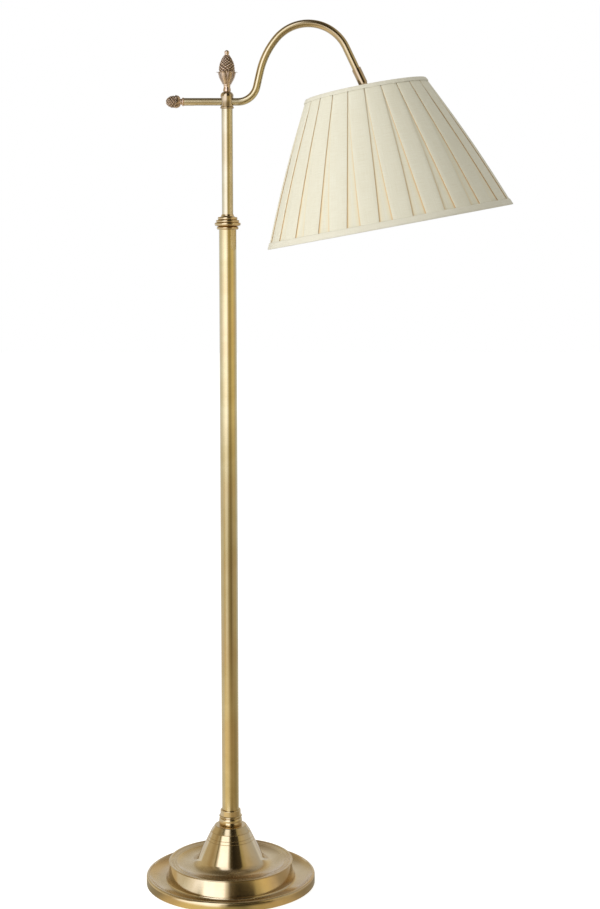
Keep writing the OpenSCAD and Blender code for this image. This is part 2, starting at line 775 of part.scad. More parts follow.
module knuckle_nut() {
    color(brass)
    from_pivot(sleeve_tilt) rotate([-90, 0, 0]) translate([0, 0, ear_out])
    difference() {
        cylinder(r = 2.1 * pivot_r, h = 2.4, $fn = 6);
        translate([0, 0, -1]) cylinder(r = pivot_r + run_fit / 2, h = 5);
    }
}

module knuckle_tang() {
    color(brass)
    from_pivot(shade_tilt)
    difference() {
        union() {
            rotate([90, 0, 0]) cylinder(r = ear_r - 0.2, h = tang_t, center = true);
            translate([-stem_r, -tang_t / 2, -ear_r - 2]) cube([2 * stem_r, tang_t, ear_r + 2]);
            cylinder_between(stem_r, -stem_len, -ear_r - 1);
        }
        rotate([90, 0, 0]) cylinder(r = pivot_r + run_fit, h = 2 * tang_t, center = true);
        cylinder_between(2.2, -stem_len - 1, -ear_r - 3);
    }
}

module holder_cap() {
    r_in = holder_cap_r - cap_wall;
    neck_out_r = stem_r + 2.8;
    color(brass)
    from_pivot(shade_tilt)
    turned(concat(
        [[stem_r + run_fit, -holder_drop], [stem_r + run_fit, -holder_drop - 7.5]],
        [[r_in - 5, -holder_drop - 10], [r_in, -holder_drop - 14], [r_in, -cap_end]],
        [[holder_cap_r, -cap_end]],
        arc(holder_cap_r - 6, -holder_drop - 13.5, 6, 0, 70, 7),
        arc(neck_out_r + 4.4, -holder_drop - 2.2, 4.4, 262, 180, 5),
        [[neck_out_r, -holder_drop]]
    ));
}

module holder_insert() {
    low = skirt_end - 3;
    color("white")
    from_pivot(shade_tilt)
    turned([
        [0, -insert_bottom], [insert_bore_r, -insert_bottom], [insert_bore_r, -low],
        [insert_r, -low], [insert_r, -insert_top], [0, -insert_top]
    ]);
}

module holder_contact() {
    color(brass)
    from_pivot(shade_tilt) cylinder_between(3, -insert_bottom - 1.6, -insert_bottom);
}

module holder_skirt() {
    skirt_in_r = skirt_r - cap_wall;
    color(brass)
    from_pivot(shade_tilt)
    turned([
        [skirt_in_r, -skirt_end], [skirt_r, -skirt_end], [skirt_r, -cap_end], [thread_out_r, -cap_end],
        [thread_out_r, -cap_end + 8], [thread_in_r, -cap_end + 8], [thread_in_r, -cap_end - 1.5],
        [skirt_in_r, -cap_end - 4]
    ]);
}

module shade_ring_at(low) {
    color(brass)
    from_pivot(shade_tilt)
    turned([
        [ring_bore_r, -low], [shade_ring_r - 0.8, -low], [shade_ring_r, -low + 0.8],
        [shade_ring_r, -low + shade_ring_t - 0.8], [shade_ring_r - 0.8, -low + shade_ring_t],
        [ring_bore_r, -low + shade_ring_t]
    ]);
}

module shade_ring_upper() { shade_ring_at(ring_hang); }
module shade_ring_lower() { shade_ring_at(ring_hang + fitting_t + shade_ring_t); }

// Places a piece of the shade, with z = 0 at its top edge and negative z below it
module on_shade() { from_pivot(shade_tilt) translate([0, 0, -shade_drop]) children(); }

// A straight wire between two points, with round ends
module wire(from, to, r) {
    v = to - from;
    translate(from) rotate([0, acos(v[2] / norm(v)), atan2(v[1], v[0])]) cylinder(r = r, h = norm(v), $fn = 24);
}

fitting_z = shade_drop - ring_hang - fitting_t / 2;
spider_out = wall_r(ring_inset) - wire_back - ring_wire_r - 0.1;

module shade_spider() {
    bend_out = [spider_out - 12, 0, -ring_inset];
    bend_in = [shade_ring_r + 4, 0, fitting_z];
    color(brass)
    on_shade()
    union() {
        ring(shade_ring_r - 1, ring_bore_r + 0.5, fitting_z - fitting_t / 2, fitting_t);
        for (i = [0:spider_arms - 1]) rotate([0, 0, 30 + 360 * i / spider_arms]) {
            wire([spider_out, 0, -ring_inset], bend_out, spider_wire_r);
            translate(bend_out) sphere(r = spider_wire_r, $fn = 24);
            wire(bend_out, bend_in, spider_wire_r);
            translate(bend_in) sphere(r = spider_wire_r, $fn = 24);
            wire(bend_in, [shade_ring_r - 2, 0, fitting_z], fitting_t / 2);
        }
    }
}

module wire_ring(s, r) {
    translate([0, 0, -s]) rotate_extrude() translate([wall_r(s) - wire_back, 0]) circle(r = r, $fn = 24);
}

module shade_frame() {
    low = shade_h - ring_inset;
    color(steel)
    on_shade()
    union() {
        wire_ring(ring_inset, ring_wire_r);
        wire_ring(low, ring_wire_r);
        for (i = [0:struts - 1]) rotate([0, 0, 360 * i / struts])
            wire([wall_r(ring_inset) - wire_back, 0, -ring_inset], [wall_r(low) - wire_back, 0, -low], strut_wire_r);
    }
}

module shade_lining() {
    low = shade_h - 0.4;
    color(cream)
    on_shade()
    turned([
        [wall_r(lining_top) - lining_back - lining_t, -lining_top], [wall_r(low) - lining_back - lining_t, -low],
        [wall_r(low) - lining_back, -low], [wall_r(lining_top) - lining_back, -lining_top]
    ]);
}

// Steps round one pleat: share of the pitch at the top, at the bottom, and how far the cloth stands out
function pleat_steps(t) =
    let (half = (pleat_top_share + (pleat_bottom_share - pleat_top_share) * t) / 2)
    [[-half, 1], [0, 1.12], [half, 1], [half, 0], [0.5, 0], [1 - half, 0]];

cover_rows = 3;

module shade_cover() {
    n = 6 * pleats;
    stations = 2 * (cover_rows + 1);
    points = [
        for (k = [0:stations - 1], i = [0:pleats - 1], q = [0:5])
            let (
                outside = k <= cover_rows,
                t = (outside ? k : stations - 1 - k) / cover_rows,
                s = 0.2 + (shade_h - 0.4) * t,
                at = pleat_steps(t)[q],
                a = 360 * (i + at[0]) / pleats,
                r = cover_r(s) - (outside ? pleat_depth * (1 - at[1]) : inner_back)
            )
            [r * cos(a), r * sin(a), -s]
    ];
    faces = [
        for (k = [0:stations - 1], j = [0:n - 1], half = [0, 1])
            let (
                up = (k + 1) % stations,
                a = k * n + j, b = k * n + (j + 1) % n,
                c = up * n + j, d = up * n + (j + 1) % n
            )
            half == 0 ? [a, b, d] : [a, d, c]
    ];
    color(cream)
    on_shade() polyhedron(points = points, faces = faces, convexity = 6);
}

// A binding tape folded over an edge; side is 1 at the top edge and -1 at the bottom edge
module binding(edge, side, width) {
    inside = min(ring_inset - ring_wire_r - 0.7, width);
    in_r = lining_back + lining_t + 0.2;
    outer = edge + side * width;
    inner = edge + side * inside;
    flat = edge - side * 0.7;
    color(cream)
    on_shade()
    turned([
        [cover_r(outer) + 0.3, -outer], [cover_r(outer) + 0.3 + trim_t * 0.6, -outer],
        [cover_r(outer - side) + 0.3 + trim_t, -outer + side],
        [wall_r(edge) + 0.3 + trim_t, -edge], [wall_r(edge) + 0.1, -flat],
        [wall_r(edge) - in_r - 0.5, -flat], [wall_r(inner) - in_r - 0.8, -inner],
        [wall_r(inner) - in_r, -inner], [wall_r(edge) - in_r, -edge + side * 0.1],
        [wall_r(edge) + 0.3, -edge + side * 0.1]
    ]);
}

module shade_top_trim() { binding(0, 1, top_trim_w); }
module shade_bottom_trim() { binding(shade_h, -1, trim_w); }

module bulb_cap() {
    color(steel)
    from_pivot(shade_tilt)
    turned([
        [0, -bulb_cap_top + 1.2], [4, -bulb_cap_top + 1.2], [5, -bulb_cap_top],
        [bulb_cap_r - 2, -bulb_cap_top - 2], [bulb_cap_r, -bulb_cap_top - 4],
        [bulb_cap_r, -bulb_cap_top - bulb_cap_len], [0, -bulb_cap_top - bulb_cap_len]
    ]);
}

module bulb_glass() {
    top = bulb_cap_top + bulb_cap_len;
    centre = top + bulb_len - bulb_r;
    outer = concat([[bulb_cap_r + 0.6, -top], [bulb_cap_r + 1, -top - 6]], arc(0, -centre, bulb_r, 36, -90, 18));
    inner = concat(
        [[bulb_cap_r + 0.6 - glass_t, -top], [bulb_cap_r + 1 - glass_t, -top - 6]],
        arc(0, -centre, bulb_r - glass_t, 36, -90, 18)
    );
    color("white")
    from_pivot(shade_tilt) turned(concat(outer, reversed(inner)));
}

base_felt();
base_weight();
base_washer();
base_nut();
base_nipple();
base_cover();
cord_grommet();
base_collar();
column_plug();
lower_tube();
collar_ferrule();
collar_cap();
grip_bush();
upper_tube();
guide_bush();
head_block();
clamp_finial();
arm_bush();
arm_tube();
arm_end_finial();
arm_sleeve();
knuckle_screw();
knuckle_nut();
knuckle_tang();
holder_cap();
holder_insert();
holder_contact();
holder_skirt();
shade_ring_upper();
shade_ring_lower();
shade_spider();
shade_frame();
shade_lining();
shade_cover();
shade_top_trim();
shade_bottom_trim();
bulb_cap();
bulb_glass();
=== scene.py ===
"""Adjustable floor lamp in antique brass with a box-pleated shade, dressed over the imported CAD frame.

Lengths are in millimetres, as in part.scad, and become metres in Shape.build.
"""
import random
from math import acos, asin, copysign, cos, degrees, exp, hypot, pi, sin, sqrt, tan, radians as rad

import bmesh
import bpy
from mathutils import Matrix, Vector


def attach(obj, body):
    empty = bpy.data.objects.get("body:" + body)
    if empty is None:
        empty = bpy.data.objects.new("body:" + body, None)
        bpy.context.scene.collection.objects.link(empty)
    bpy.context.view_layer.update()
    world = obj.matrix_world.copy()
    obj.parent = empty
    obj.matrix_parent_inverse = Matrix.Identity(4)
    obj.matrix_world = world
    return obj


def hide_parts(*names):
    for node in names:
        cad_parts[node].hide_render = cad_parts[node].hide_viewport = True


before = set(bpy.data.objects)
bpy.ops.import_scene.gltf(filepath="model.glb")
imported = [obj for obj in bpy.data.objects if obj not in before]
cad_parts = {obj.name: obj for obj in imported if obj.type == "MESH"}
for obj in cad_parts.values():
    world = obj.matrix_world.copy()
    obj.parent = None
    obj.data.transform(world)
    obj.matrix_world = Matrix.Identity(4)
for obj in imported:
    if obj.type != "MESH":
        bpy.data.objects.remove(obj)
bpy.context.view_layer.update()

MM = 0.001

# Sizes shared with part.scad, some under a shorter name
BASE_R, RIM_H, RIM_ROLL, RIM_GAP, COVER_WALL = 140, 16.5, 3.4, 0.8, 1.6
DISH_H, RING_R, RING_H, RING_BEAD, RING_BACK, COVE = 7.4, 103, 38.4, 2.2, 3.2, 10
INNER_DISH_H, CONE_FOOT, CONE_TOP_R, CONE_TOP_H, CONE_ANGLE = 32.4, 20, 26.8, 98.6, 25.6
CONE_LINES, LINE_DEPTH, SHOULDER, NIPPLE_HOLE = (10, 18.8, 23.6), 0.4, 2.2, 5.4
INLET_R, INLET_Z, GROMMET_BACK = 3.3, 6.2, 3.2
LOWER_R, LOWER_WALL, LOWER_TOP = 14, 1.5, 1080.4
UPPER_R, UPPER_WALL, TRAVEL_UP, GUIDE_LEN = 9.1, 1.2, 250, 40
HEAD_Z, HEAD_R, HEAD_H, ARM_UP, SPIGOT = 1268.8, 10.4, 26.6, 10.8, 16
RUN, PASS = 0.05, 0.3
FOOT_R, FOOT_H = 19.2, 26.2
FERRULE_R, FERRULE_H, THREAD_R = 17.6, 5, 14.9
CAP_RINGS, CAP_RING_H, CAP_NECK, CAP_GROOVE = (21, 18.7, 15.9), (4.8, 4.2, 4.7), 4.2, 1.3
STUD_R, NECK_H, NECK_R, CUP_H, CUP_R, TIP_FLARE = 3.95, 11, 5.3, 19.2, 12.7, 2.8
CONE_H, CONE_R, BUTTON_R = 27.6, 12.7, 3.9
ARM_R, ARM_WALL, BAR_BACK, BAR_AHEAD = 6, 1.2, 67.8, 17
ARCH = ((30.9, 76.9), (23.7, 0), (122.4, -26.7), (66.2, -114.2))
DROP, SLIDE_OUT, SLIDE_IN, SLOT_W = 69.4, 48, 6, 5
END_LEN, END_R = 22.6, 9.7
EAR_R, EAR_T, TANG_T, PIVOT_R = 6, 3.6, 4, 2
HOLDER_DROP, HOLDER_CAP_H, HOLDER_CAP_R, SKIRT_H, SKIRT_R = 12, 26, 18.6, 28, 18.9
BULB_CAP_R, BULB_R, BULB_LEN, GLASS = 13.2, 29, 82, 0.8
SHADE_RING_R, SHADE_RING_T = 26, 3.5
TILT, SHADE_DROP, TOP_R, BOTTOM_R, SHADE_H, SWELL = 10.5, 2.5, 96, 197, 219, 3.5
PLEATS, TOP_SHARE, BOTTOM_SHARE, PLEAT_DEPTH = 24, 0.96, 0.58, 1.8
CLOTH_T, LINING_T, RING_WIRE, SPIDER_WIRE, SPIDER_ARMS = 1, 1, 1.4, 1.5, 3
TOP_TRIM_W, TRIM_W, TRIM_T, RING_INSET = 5.5, 9.5, 1, 4.5

# Places that follow from them
ARM_Z = HEAD_Z + ARM_UP
HEAD_TOP = HEAD_Z + HEAD_H
LOWER_BOTTOM = CONE_TOP_H + 2
RING_WALL_R = RING_R - RING_BACK
FERRULE_LOW, GRIP_LOW = LOWER_TOP - 1.4, LOWER_TOP + 1.5
GRIP_R, PASS_R = UPPER_R + RUN + 3.3, UPPER_R + PASS
CAVITY_TOP = GRIP_LOW + 11.7 + 0.4
TUBE_STOP = EAR_R + 4.2
CAP_END = HOLDER_DROP + HOLDER_CAP_H
SKIRT_END = CAP_END + SKIRT_H
RINGS_DROP = CAP_END + 10
LINING_BACK = PLEAT_DEPTH + CLOTH_T + 2 * RING_WIRE + 0.6
WIRE_BACK = PLEAT_DEPTH + CLOTH_T + RING_WIRE + 0.3

# The scene's own: the ring's wall, the finials' leaves and the pleats' cloth and turn
WALL_LEAN, SEEN_COVE = 6, 4
RING_GROOVES = ((5.2, 0.9), (7.4, 1.15), (10.4, 1.6), (12.2, 1.85))
CUP_LEAVES, SHEATH_LEAVES = 6, 7
CLOTH_PER_PLEAT, PLEAT_TURN = 59, 3.5


# Camera and light

LENS, SENSOR = 68.83, 36
EYE, LOOK_DOWN = (0.1154, -2.7961, 1.0581), 6.94


def new_object(name, data):
    obj = bpy.data.objects.new(name, data)
    bpy.context.scene.collection.objects.link(obj)
    return obj


def make_camera():
    data = bpy.data.cameras.new("photo_camera")
    data.sensor_width, data.lens = SENSOR, LENS
    data.clip_start, data.clip_end = 0.05, 60
    camera = new_object("photo_camera", data)
    camera.location = EYE
    camera.rotation_euler = (rad(90 - LOOK_DOWN), 0, 0)
    bpy.context.scene.camera = camera


def make_lamp(name, place, target, size, power, colour=(1, 1, 1)):
    """A square soft lamp that cloth and floor see and metal doesn't."""
    data = bpy.data.lights.new(name, "AREA")
    data.size, data.energy, data.color = size, power, colour
    lamp = new_object(name, data)
    lamp.location = place
    lamp.rotation_euler = (Vector(target) - Vector(place)).to_track_quat("-Z", "Y").to_euler()
    lamp.visible_glossy = False


def grey(level):
    return (level, level, level)


class Nodes:
    """Adds shader nodes. An input is a number, a colour's three levels or another node's output."""

    def __init__(self, tree):
        self.tree = tree
        tree.nodes.clear()

    def add(self, kind, inputs=None, **settings):
        node = self.tree.nodes.new("ShaderNode" + kind)
        for key, value in settings.items():
            setattr(node, key, value)
        self.feed(node.inputs, inputs or {})
        return node

    def feed(self, sockets, inputs):
        for key, value in inputs.items():
            if isinstance(value, bpy.types.NodeSocket):
                self.tree.links.new(value, sockets[key])
            else:
                sockets[key].default_value = (*value, 1) if sockets[key].type == "RGBA" else value

    def out(self, kind, inputs=None, **settings):
        """Adds a node and returns its first output."""
        return self.add(kind, inputs, **settings).outputs[0]

    def math(self, operation, *values):
        return self.out("Math", dict(enumerate(values)), operation=operation)

    def scaled(self, value, factor, more=0.0):
        return self.math("MULTIPLY_ADD", value, factor, more)

    def mix(self, share, a, b):
        return self.add("Mix", {0: share, 6: a, 7: b}, data_type="RGBA").outputs[2]

    def mix_shaders(self, share, a, b):
        return self.out("MixShader", {0: share, 1: a, 2: b})

    def ramp(self, value, stops):
        node = self.add("ValToRGB", {0: value})
        ramp = node.color_ramp
        ramp.interpolation = "EASE"
        while len(ramp.elements) < len(stops):
            ramp.elements.new(0.5)
        for element, (place, colour) in zip(ramp.elements, stops):
            element.position = place
            element.color = (*colour, 1)
        return node.outputs[0]

    def ease(self, value, start, end, first=0.0, last=1.0):
        """Goes smoothly from first, where the value is start, to last, where it is end."""
        return self.ramp(value, [(start, grey(first)), (end, grey(last))])

    def noise(self, vector, scale, detail=2.0, rough=0.6):
        inputs = {"Vector": vector, "Scale": scale, "Detail": detail, "Roughness": rough}
        return self.out("TexNoise", inputs)

    def place(self):
        """The point's place on its object."""
        return self.add("TexCoord").outputs["Object"]

    def relief(self):
        """The mesh's own value from 0 in its hollows to 1 on its faces."""
        return self.add("Attribute", attribute_name="relief").outputs["Fac"]

    def split(self, vector):
        return self.add("SeparateXYZ", {0: vector}).outputs

    def length(self, vector):
        return self.add("VectorMath", {0: vector}, operation="LENGTH").outputs["Value"]

    def bump(self, height, distance, strength):
        return self.out("Bump", {"Height": height, "Distance": distance, "Strength": strength})

    def rays(self):
        """Whether a ray comes from the camera or through glass, and whether metal mirrors it."""
        path = self.add("LightPath").outputs
        return self.math("MAXIMUM", path["Is Camera Ray"], path["Is Transmission Ray"]), path["Is Glossy Ray"]


# What the metal mirrors: belts of (azimuth, level, tint). Azimuth 0 is towards the camera, -90 to its left
COOL, PLAIN, CLEAR = (0.90, 0.98, 1.12), (1.0, 1.0, 1.0), (0.95, 1.02, 1.25)
WARM, OLIVE, AMBER = (1.0, 0.90, 0.68), (1.0, 0.88, 0.50), (1.0, 0.82, 0.52)
HIGH_BELT = (
    (-180, 0.36, PLAIN), (-160, 0.36, PLAIN), (-148, 0.28, WARM), (-134, 0.34, WARM), (-100, 0.33, WARM),
    (-78, 0.25, AMBER), (-63, 0.30, WARM), (-57, 0.11, OLIVE), (-51, 0.55, PLAIN), (-46, 1.05, CLEAR),
    (-11, 1.05, CLEAR), (-5, 0.45, PLAIN), (1, 0.05, AMBER), (14, 0.015, AMBER), (42, 0.03, AMBER),
    (51, 0.26, OLIVE), (68, 0.33, WARM), (100, 0.30, PLAIN), (130, 0.32, COOL), (146, 0.27, AMBER),
    (158, 0.38, WARM), (180, 0.36, PLAIN),
)
LOW_BELT = (
    (-180, 0.45, COOL), (-130, 0.50, COOL), (-105, 0.50, COOL), (-89, 0.58, COOL), (-60, 0.78, CLEAR),
    (-42, 0.95, CLEAR), (-20, 0.98, CLEAR), (-8, 0.66, CLEAR), (8, 0.36, OLIVE), (20, 0.26, OLIVE),
    (32, 0.26, OLIVE), (47, 0.40, OLIVE), (67, 0.46, OLIVE), (89, 0.38, WARM), (110, 0.34, PLAIN),
    (130, 0.45, COOL), (180, 0.45, COOL),
)
FAR_FLOOR = (
    (-180, 0.32, PLAIN), (-128, 0.40, PLAIN), (-89, 0.38, PLAIN), (-60, 0.40, WARM), (-41, 0.50, PLAIN),
    (-22, 0.44, PLAIN), (-6, 0.24, WARM), (11, 0.15, OLIVE), (29, 0.12, AMBER), (47, 0.22, WARM),
    (67, 0.28, WARM), (89, 0.28, WARM), (128, 0.38, COOL), (180, 0.32, PLAIN),
)
NEAR_FLOOR = (
    (-180, 0.32, PLAIN), (-128, 0.42, PLAIN), (-89, 0.42, PLAIN), (-60, 0.54, WARM), (-41, 0.54, WARM),
    (-23, 0.50, WARM), (-6, 0.38, WARM), (11, 0.26, AMBER), (29, 0.22, AMBER), (47, 0.23, AMBER),
    (67, 0.20, AMBER), (89, 0.20, WARM), (110, 0.24, WARM), (128, 0.36, PLAIN), (180, 0.32, PLAIN),
)
FOOT_FLOOR = (
    (-180, 0.30, PLAIN), (-110, 0.34, AMBER), (-75, 0.36, AMBER), (-51, 0.34, AMBER), (-46, 0.50, PLAIN),
    (-41, 1.0, CLEAR), (-9, 1.0, CLEAR), (-4, 0.45, PLAIN), (1, 0.05, AMBER), (10, 0.02, AMBER),
    (33, 0.03, AMBER), (41, 0.26, WARM), (60, 0.34, WARM), (95, 0.22, AMBER), (140, 0.30, PLAIN),
    (180, 0.30, PLAIN),
)
RIM_FLOOR = (
    (-180, 0.26, PLAIN), (-90, 0.20, WARM), (-66, 0.18, WARM), (-45, 0.38, AMBER), (-30, 0.50, OLIVE),
    (-8, 0.48, OLIVE), (0, 0.24, OLIVE), (12, 0.16, OLIVE), (22, 0.30, OLIVE), (40, 0.35, AMBER),
    (68, 0.18, WARM), (100, 0.15, WARM), (180, 0.26, PLAIN),
)
ZENITH, ROOM_LIGHT, ROOM_LEVEL, SHINE = (0.06, 0.053, 0.04), (1.0, 0.975, 0.89), 0.56, 2.0

# Where one belt gives way to the next: the sine of the height in the room, metres on the floor
TO_HIGH, TO_CONE, TO_ZENITH = (0.088, 0.104), (0.46, 0.60), (0.74, 0.92)
FLOOR_RINGS = (
    (FOOT_FLOOR, 0.163, 0.175), (NEAR_FLOOR, 0.32, 0.42), (FAR_FLOOR, 0.9, 1.9), (LOW_BELT, 3.5, 9.0),
)
FLOOR_SIZE, FLOOR_PAINT, FLOOR_GLOW = 14, 0.80, 0.72


def cone_belt():
    """The high belt as the cone mirrors it: dimmer, with the bright window's left edge moved to the right."""
    left_edge, shift, left_level, right_level = range(-57, -45), 9, 0.66, 0.82
    return [(turn + (shift if turn in left_edge else 0), level * (left_level if turn < -50 else right_level),
             tint) for turn, level, tint in HIGH_BELT]


def belt(n, share, levels):
    return n.ramp(share, [(turn / 360 + 0.5, [level * c for c in tint]) for turn, level, tint in levels])


def azimuth(n, axes):
    """Share of a turn round the lamp, 0.5 towards the camera."""
    turn = n.math("ARCTAN2", axes[0], n.scaled(axes[1], -1.0))
    return n.scaled(turn, 0.5 / pi, 0.5)


def make_world():
    """White for the camera, plain for cloth, and a studio of soft boxes and flags for metal to reflect."""
    world = bpy.data.worlds.new("studio")
    bpy.context.scene.world = world
    world.use_nodes = True
    n = Nodes(world.node_tree)
    axes = n.split(n.add("TexCoord").outputs["Generated"])
    share = azimuth(n, axes)
    room = belt(n, share, LOW_BELT)
    room = n.mix(n.ease(axes[2], *TO_HIGH), room, belt(n, share, HIGH_BELT))
    room = n.mix(n.ease(axes[2], *TO_CONE), room, belt(n, share, cone_belt()))
    room = n.mix(n.ease(axes[2], *TO_ZENITH), room, ZENITH)
    mirrored, plain, white = (n.out("Background", {0: colour, 1: level})
                              for colour, level in ((room, SHINE), (ROOM_LIGHT, ROOM_LEVEL), (grey(1), 1.0)))
    seen, glossy = n.rays()
    n.add("OutputWorld", {0: n.mix_shaders(seen, n.mix_shaders(glossy, plain, mirrored), white)})


def make_floor():
    """A pale floor that the camera sees as white, apart from the lamp's soft shadow; metal sees painted
    reflection belts on it, by turn round the lamp and distance from it.
    """
    mesh = bpy.data.meshes.new("floor")
    corners = [(x * FLOOR_SIZE, y * FLOOR_SIZE, 0) for x, y in ((-1, -1), (1, -1), (1, 1), (-1, 1))]
    mesh.from_pydata(corners, [], [(0, 1, 2, 3)])
    material, n = node_material("studio_floor")
    place = n.place()
    share, reach = azimuth(n, n.split(place)), n.length(place)
    room = belt(n, share, RIM_FLOOR)
    for levels, start, end in FLOOR_RINGS:
        far = n.out("MapRange", {"Value": reach, "From Min": start, "From Max": end})
        room = n.mix(far, room, belt(n, share, levels))
    paint = n.out("BsdfDiffuse", {0: grey(FLOOR_PAINT)})
    glow = n.out("Emission", {0: grey(1), 1: FLOOR_GLOW})
    bright = n.out("AddShader", {0: paint, 1: glow})
    mirrored = n.out("Emission", {0: room, 1: SHINE})
    seen, glossy = n.rays()
    n.add("OutputMaterial", {0: n.mix_shaders(glossy, n.mix_shaders(seen, paint, bright), mirrored)})
    mesh.materials.append(material)
    new_object("floor", mesh)


# Materials

# The finish that each slot of the record gets, unless a piece names another lit copy of the brass
SLOT_FINISH = {
    "antique_brass": "tube_brass", "finial_bronze": "cast_bronze", "felt": "base_felt",
    "cast_weight": "cast_iron", "plated_steel": "zinc_steel", "grommet_rubber": "soft_rubber",
    "bush_nylon": "tan_nylon", "insulator": "porcelain", "frame_wire": "white_wire",
    "pleated_cloth": "pleated_cloth", "lining_cloth": "lining_cloth", "binding_cloth": "binding_cloth",
    "bulb_glass": "pearl_glass",
}
# Painted light: each copy of the one brass has its own tint for the light that its pieces catch in the
# photograph
TURNED_BRASS_LIGHT = {
    "spun_brass": (1.02, 1.02, 1.18), "head_brass": (0.79, 0.77, 0.95),
    "column_brass": (0.99, 1.02, 1.09), "mast_brass": (0.96, 1.02, 1.30),
}
DRAWN_BRASS_LIGHT = {"tube_brass": (0.98, 1.02, 1.09), "arm_brass": (0.90, 0.93, 1.06)}
# Cloth: its light and dark colour and the spacing of its threads in metres
CLOTHS = {
    "pleated_cloth": ((0.88, 0.87, 0.76), (0.66, 0.585, 0.40), 0.0005),
    "lining_cloth": ((0.84, 0.83, 0.78), (0.64, 0.61, 0.52), 0.0004),
    "binding_cloth": ((0.86, 0.845, 0.75), (0.64, 0.58, 0.42), 0.0007),
}
# Painted light on the pleats' gaps and edges, and painted shade in their folds
PAINTED_GAP_LIGHT, PAINTED_FOLD_SHADE = (0.88, 0.80, 0.58), (0.82, 0.55, 0.25)
# The rest: two colours, the noise's scale, metallic, roughness and the bumps' height in metres
CASTS = {
    "base_felt": ((0.035, 0.05, 0.035), (0.02, 0.03, 0.022), 900, 0, 0.95, 0.0006),
    "cast_iron": ((0.06, 0.06, 0.062), (0.035, 0.035, 0.036), 180, 0.7, 0.6, 0.0004),
    "zinc_steel": ((0.56, 0.56, 0.58), (0.45, 0.45, 0.47), 300, 1.0, 0.32, 0.0001),
    "soft_rubber": ((0.03, 0.03, 0.03), (0.015, 0.015, 0.015), 500, 0, 0.7, 0.0001),
    "tan_nylon": ((0.40, 0.31, 0.19), (0.33, 0.25, 0.15), 120, 0, 0.42, 0.0001),
    "porcelain": ((0.86, 0.85, 0.82), (0.80, 0.79, 0.75), 60, 0, 0.22, 0.0001),
    "white_wire": ((0.76, 0.75, 0.71), (0.68, 0.67, 0.62), 400, 0, 0.38, 0.0001),
}


def node_material(name):
    material = bpy.data.materials.new(name)
    material.use_nodes = True
    return material, Nodes(material.node_tree)


def new_material(name, colour, metallic, roughness, **inputs):
    """A node material; returns it with its nodes and the Principled shader's inputs."""
    material, n = node_material(name)
    inputs = {key.replace("_", " "): value for key, value in inputs.items()}
    inputs.update({"Base Color": colour, "Metallic": metallic, "Roughness": roughness})
    shader = n.add("BsdfPrincipled", inputs)
    n.add("OutputMaterial", {0: shader.outputs[0]})
    return material, n, shader.inputs


def brass_material(name, turned, tone):
    """Antique brass under lacquer: cloudy patina, fine lines, a softer shine on turned faces that look up;
    tone paints in the part's light.
    """
    line_scale, line_share, line_depth, rough_base = 420.0, 0.08, 0.05, 0.15
    if turned:
        line_scale, line_share, line_depth, rough_base = 900.0, 0.18, 0.15, 0.06
    material, n, sockets = new_material(
        name, (0.63, 0.49, 0.24), 1.0, 0.12, Coat_Weight=0.25, Coat_Roughness=0.06, Coat_IOR=1.45)

    # tone is the part's painted light; it scales every brass colour below
    def with_painted_light(*colour):
        return [c * t for c, t in zip(colour, tone)]

    place = line_place = n.place()
    if turned:
        axes = n.split(place)
        radius = n.length(n.out("CombineXYZ", {0: axes[0], 1: axes[1]}))
        line_place = n.out("CombineXYZ", {0: radius, 2: axes[2]})
    cloud = n.ease(n.noise(place, 22.0, 4.0), 0.30, 0.72)
    warm = n.ease(n.noise(place, 9.0, 2.0, 0.5), 0.42, 0.70)
    lines = n.noise(line_place, line_scale, 2.0, 0.7)
    patina = n.mix(cloud, with_painted_light(0.67, 0.53, 0.27), with_painted_light(0.58, 0.44, 0.195))
    patina = n.mix(n.scaled(warm, 0.55), patina, with_painted_light(0.62, 0.42, 0.20))
    patina = n.mix(n.scaled(lines, line_share), patina, with_painted_light(0.44, 0.33, 0.15))
    rough = n.scaled(cloud, 0.05, n.scaled(lines, 0.06, rough_base))
    if turned:
        facing = n.split(n.add("NewGeometry").outputs["Normal"])[2]
        rough = n.scaled(n.ease(facing, 0.42, 0.80), 0.15, rough)
    n.feed(sockets, {"Base Color": patina, "Roughness": rough, "Normal": n.bump(lines, 0.00003, line_depth)})
    return material


def bronze_material():
    """Cast finial bronze: coppery on the high parts, dark in the carving."""
    material, n, sockets = new_material(
        "cast_bronze", (0.42, 0.27, 0.15), 1.0, 0.34, Coat_Weight=0.2, Coat_Roughness=0.2)
    cloud = n.noise(n.place(), 240.0, 3.0)
    high = n.mix(cloud, (0.80, 0.60, 0.42), (0.64, 0.46, 0.30))
    share = n.ease(n.relief(), 0.18, 0.75)
    tone = n.mix(share, (0.15, 0.09, 0.05), high)
    rough = n.scaled(share, -0.22, n.scaled(cloud, 0.1, 0.44))
    n.feed(sockets, {"Base Color": tone, "Roughness": rough, "Normal": n.bump(cloud, 0.0001, 0.4)})
    return material


